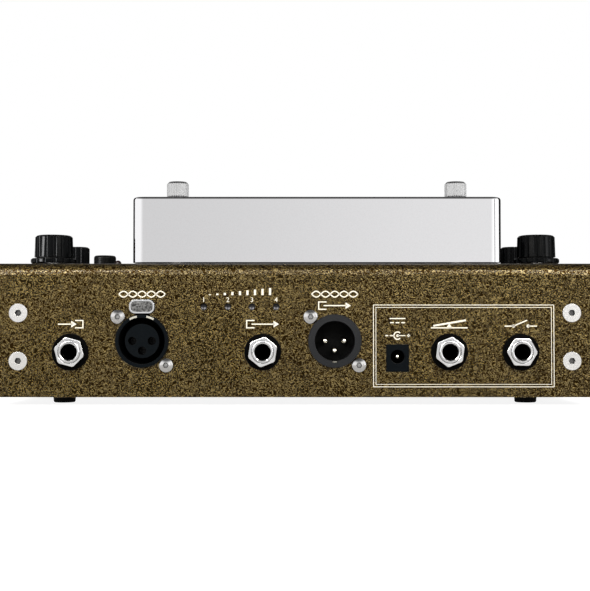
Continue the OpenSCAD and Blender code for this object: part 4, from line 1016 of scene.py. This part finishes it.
for knob in ("level", "speed", "tone", "feedback"):
    low, high = (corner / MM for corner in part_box(knob + "_knob"))
    centre = (low + high) / 2
    rim = (high.x - low.x) / 2
    scale = Print((centre.x, centre.y, TOP_Z), *FROM_FRONT)
    for value in range(11):
        turn = math.radians(SWEEP * (value / 5 - 1))
        way = Vector((math.sin(turn), math.cos(turn)))
        long = value % 5 == 0
        scale.line([way * (rim + 1.3), way * (rim + (3.0 if long else 2.5))], 0.5 if long else THIN)
        scale.figure(str(value), *(way * (rim + 4.6)), 2.0 if long else 1.7)
    scale.done(knob + "_scale", "case", cream_ink)
    groove = (centre.x, centre.y, high.z - GROOVE_DEPTH)
    inner, outer = GROOVE_START, rim - (2.9 if rim > LARGE_KNOB else 1.5)
    half = 0.45 if rim > LARGE_KNOB else 0.36
    inlay = Print(groove, *FROM_FRONT, depth=FILL_DEPTH)
    inlay.plate([(-half, inner), (half, inner), (half, outer), (-half, outer)])
    inlay.done(knob + "_pointer", knob, pointer_white)
    stop = Print(groove, *FROM_FRONT, depth=FILL_DEPTH)
    stop.plate([(-half, outer), (half, outer), (half, outer + STOP), (-half, outer + STOP)])
    stop.done(knob + "_pointer_stop", knob, finishes["knob_black"])

# %% [markdown]
# The push tab of the female socket is a zinc casting: a polished rim stands round a sunk middle that
# keeps the grain of the mould, so a thumb doesn't slip.

# %% Rim and grained middle of the latch
QUARTERS = ((1, 1, 0), (-1, 1, 90), (-1, -1, 180), (1, -1, 270))
ROUNDING = 0.43
low, high = (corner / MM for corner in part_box("xlr_input_latch"))
tab_x, tab_z = (low.x + high.x) / 2, (low.z + high.z) / 2
tab_w, tab_h = high.x - low.x, high.z - low.z


def rounded(w, h, share):
    """Outline of a rectangle whose corners are rounded by a share of its height."""
    r = share * h
    points = []
    for x, y, start in QUARTERS:
        points += arc(x * (w / 2 - r), y * (h / 2 - r), r, start, start + 90, 8)
    return points


cast = Finish("cast_grain", (0.012, 0.012, 0.012), rough=0.38, metallic=1.0)
lump = cast.place(grain_group, Size=0.0009)
cast.tint(lump, (0.13, 0.13, 0.13)).gloss(lump, 0.15).relief(lump, 0.00006)
# Painted shade: the grained middle darkens where it is shut in, with some grime.
cast.tint(cast.place(shade_and_grime_group, Reach=0.0008, Amount=0.8), (0.03, 0.03, 0.03))
cast_grain = cast.done()
tab = Print((tab_x, low.y, tab_z), (1, 0, 0), (0, 0, 1), depth=0.2)
tab.line(rounded(tab_w - 0.75, tab_h - 0.75, ROUNDING), 0.5, closed=True)
tab.done("latch_rim", "latch", finishes["nickel"])
middle = Print((tab_x, low.y, tab_z), (1, 0, 0), (0, 0, 1), depth=0.05)
middle.plate(rounded(tab_w - 1.3, tab_h - 1.3, ROUNDING))
middle.done("latch_middle", "latch", cast_grain)

# %% [markdown]
# The cover is drawn from one sheet of steel over a former and then polished. Drawn metal flows round
# a corner in every direction at once, so the folded top edge and the upright corner run into each
# other without a crease. The solid has the right size but keeps a crease there, so this piece stands
# for it. It is a stack of outlines, each a rectangle with round corners: up the wall, round the fold
# and on to the flat top, outside first and then inside. An extra point close beside each bend keeps
# the flats truly flat, which matters on a mirror.

# %% Outlines of the drawn cover
CORNER, FOLD, SHEET, HOLE, EASE = 5.0, 1.3, 1.0, 2.3, 0.05
low, high = (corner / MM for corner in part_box("drum_cover"))
centre = (low + high) / 2
half_w, half_d = (high.x - low.x) / 2, (high.y - low.y) / 2


def level(mesh, shrink, z):
    """Points of one outline, set in from the outer wall."""
    points = []
    for x, y, start in QUARTERS:
        turn = arc(x * (half_w - CORNER), y * (half_d - CORNER), CORNER - shrink, start, start + 90, 12)
        angles = [math.radians(a) for a in (start, start + 90)]
        way_in, way_out = (Vector((-math.sin(a), math.cos(a))) for a in angles)
        points += [Vector(turn[0]) - EASE * way_in, *turn, Vector(turn[-1]) + EASE * way_out]
    return [mesh.verts.new(Vector((centre.x + x, centre.y + y, z)) * MM) for x, y in points]


def skin(mesh, rows):
    """Quads between each outline and the next."""
    for a, b in zip(rows, rows[1:]):
        for i in range(len(a)):
            mesh.faces.new((a[i - 1], a[i], b[i], b[i - 1]))


def fold(mesh, shrink, top, radius, steps):
    """The wall's end, the bend and the edge of the flat, for one side of the sheet."""
    rows = [level(mesh, shrink, top - radius - EASE)]
    for i in range(steps + 1):
        bend = math.pi / 2 * i / steps
        set_in = shrink + radius * (1 - math.cos(bend))
        rows.append(level(mesh, set_in, top - radius * (1 - math.sin(bend))))
    return rows + [level(mesh, shrink + radius + EASE, top)]


shell = bmesh.new()
outside = [level(shell, 0, low.z)] + fold(shell, 0, high.z, FOLD, 8)
inside = [level(shell, SHEET, low.z)] + fold(shell, SHEET, high.z - SHEET, FOLD - SHEET, 3)
skin(shell, outside)
skin(shell, inside)
skin(shell, [inside[0], outside[0]])
print("cover walls of", len(outside), "outlines outside and", len(inside), "inside")

# %% [markdown]
# The flat top has a hole for each thumb screw. Triangles fill the space between its edge and the
# holes, above and below, and a short wall lines each hole.

# %% Flat top with its holes
thumbs = [joint["pos_m"] for joint in joints if joint["name"].startswith("thumb_")]
holes = []
for z in (high.z, high.z - SHEET):
    holes.append([[shell.verts.new((x, y, z * MM)) for x, y in arc(px, py, HOLE * MM, 0, 360, 24)[:-1]]
                  for px, py, pz in thumbs])
for upper, lower in zip(*holes):
    skin(shell, [lower, upper])
for edge_row, hole_rows in ((outside[-1], holes[0]), (inside[-1], holes[1])):
    loops = [edge_row, *hole_rows]
    edges = [shell.edges.get((loop[i - 1], loop[i])) for loop in loops for i in range(len(loop))]
    bmesh.ops.triangle_fill(shell, use_beauty=True, edges=edges)
bmesh.ops.recalc_face_normals(shell, faces=shell.faces)
for face in shell.faces:
    face.smooth = True
print(len(thumbs), "holes, and", sum(not e.is_manifold for e in shell.edges), "open edges")

# %% The cover as a piece
CREASE = 35
cover_mesh = bpy.data.meshes.new("polished_cover")
shell.to_mesh(cover_mesh)
shell.free()
cover_mesh.set_sharp_from_angle(angle=math.radians(CREASE))
cover_mesh.materials.append(finishes["cover_chrome"])
polished_cover = bpy.data.objects.new("polished_cover", cover_mesh)
bpy.context.scene.collection.objects.link(polished_cover)
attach(polished_cover, "cover")
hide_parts("drum_cover")
keep_from_boxes(polished_cover)
print("cover of", len(cover_mesh.polygons), "faces")

# %% [markdown]
# Each magnetic head is a coil in a metal can. The back of the can is closed with cast resin, and four
# tinned pins stand out of it for the leads.

# %% Resin backs and pins of the heads
HEAD_TURNS = range(0, 226, 45)
BACK_WIDTH, BACK_HEIGHT = 7.0, 9.6
PIN_ASIDE, PIN_UP, PIN_RADIUS = 1.8, 2.4, 0.35
head_low, head_high = (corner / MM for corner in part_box("drum_heads"))
axis = drum_centre / MM
head_back = head_high.x - axis.x
resin_finish = Finish("head_resin", (0.030, 0.010, 0.006), rough=0.30, specular=0.4)
cloudy = resin_finish.place(grain_group, Size=0.0012)
resin_finish.tint(cloudy, (0.055, 0.020, 0.010)).gloss(cloudy, 0.12).relief(cloudy, 0.00003)
backs = Print((0, 0, 0), (1, 0, 0), (0, 0, 1), depth=0.25)
pins = Print((0, 0, 0), (1, 0, 0), (0, 0, 1), depth=2.2)
for turn in HEAD_TURNS:
    out = Vector((math.cos(math.radians(turn)), math.sin(math.radians(turn)), 0))
    along = Vector((-out.y, out.x, 0))
    spot = Vector((axis.x, axis.y, (head_low.z + head_high.z) / 2)) + out * head_back
    for sheet in (backs, pins):
        sheet.move(spot, along, (0, 0, 1))
    backs.plate(rounded(BACK_WIDTH, BACK_HEIGHT, 0.1))
    for x in (-PIN_ASIDE, PIN_ASIDE):
        for y in (-PIN_UP, PIN_UP):
            pins.disc(x, y, PIN_RADIUS)
backs.done("head_resin", "case", resin_finish.done())
pins.done("head_pins", "case", finishes["contact_metal"])
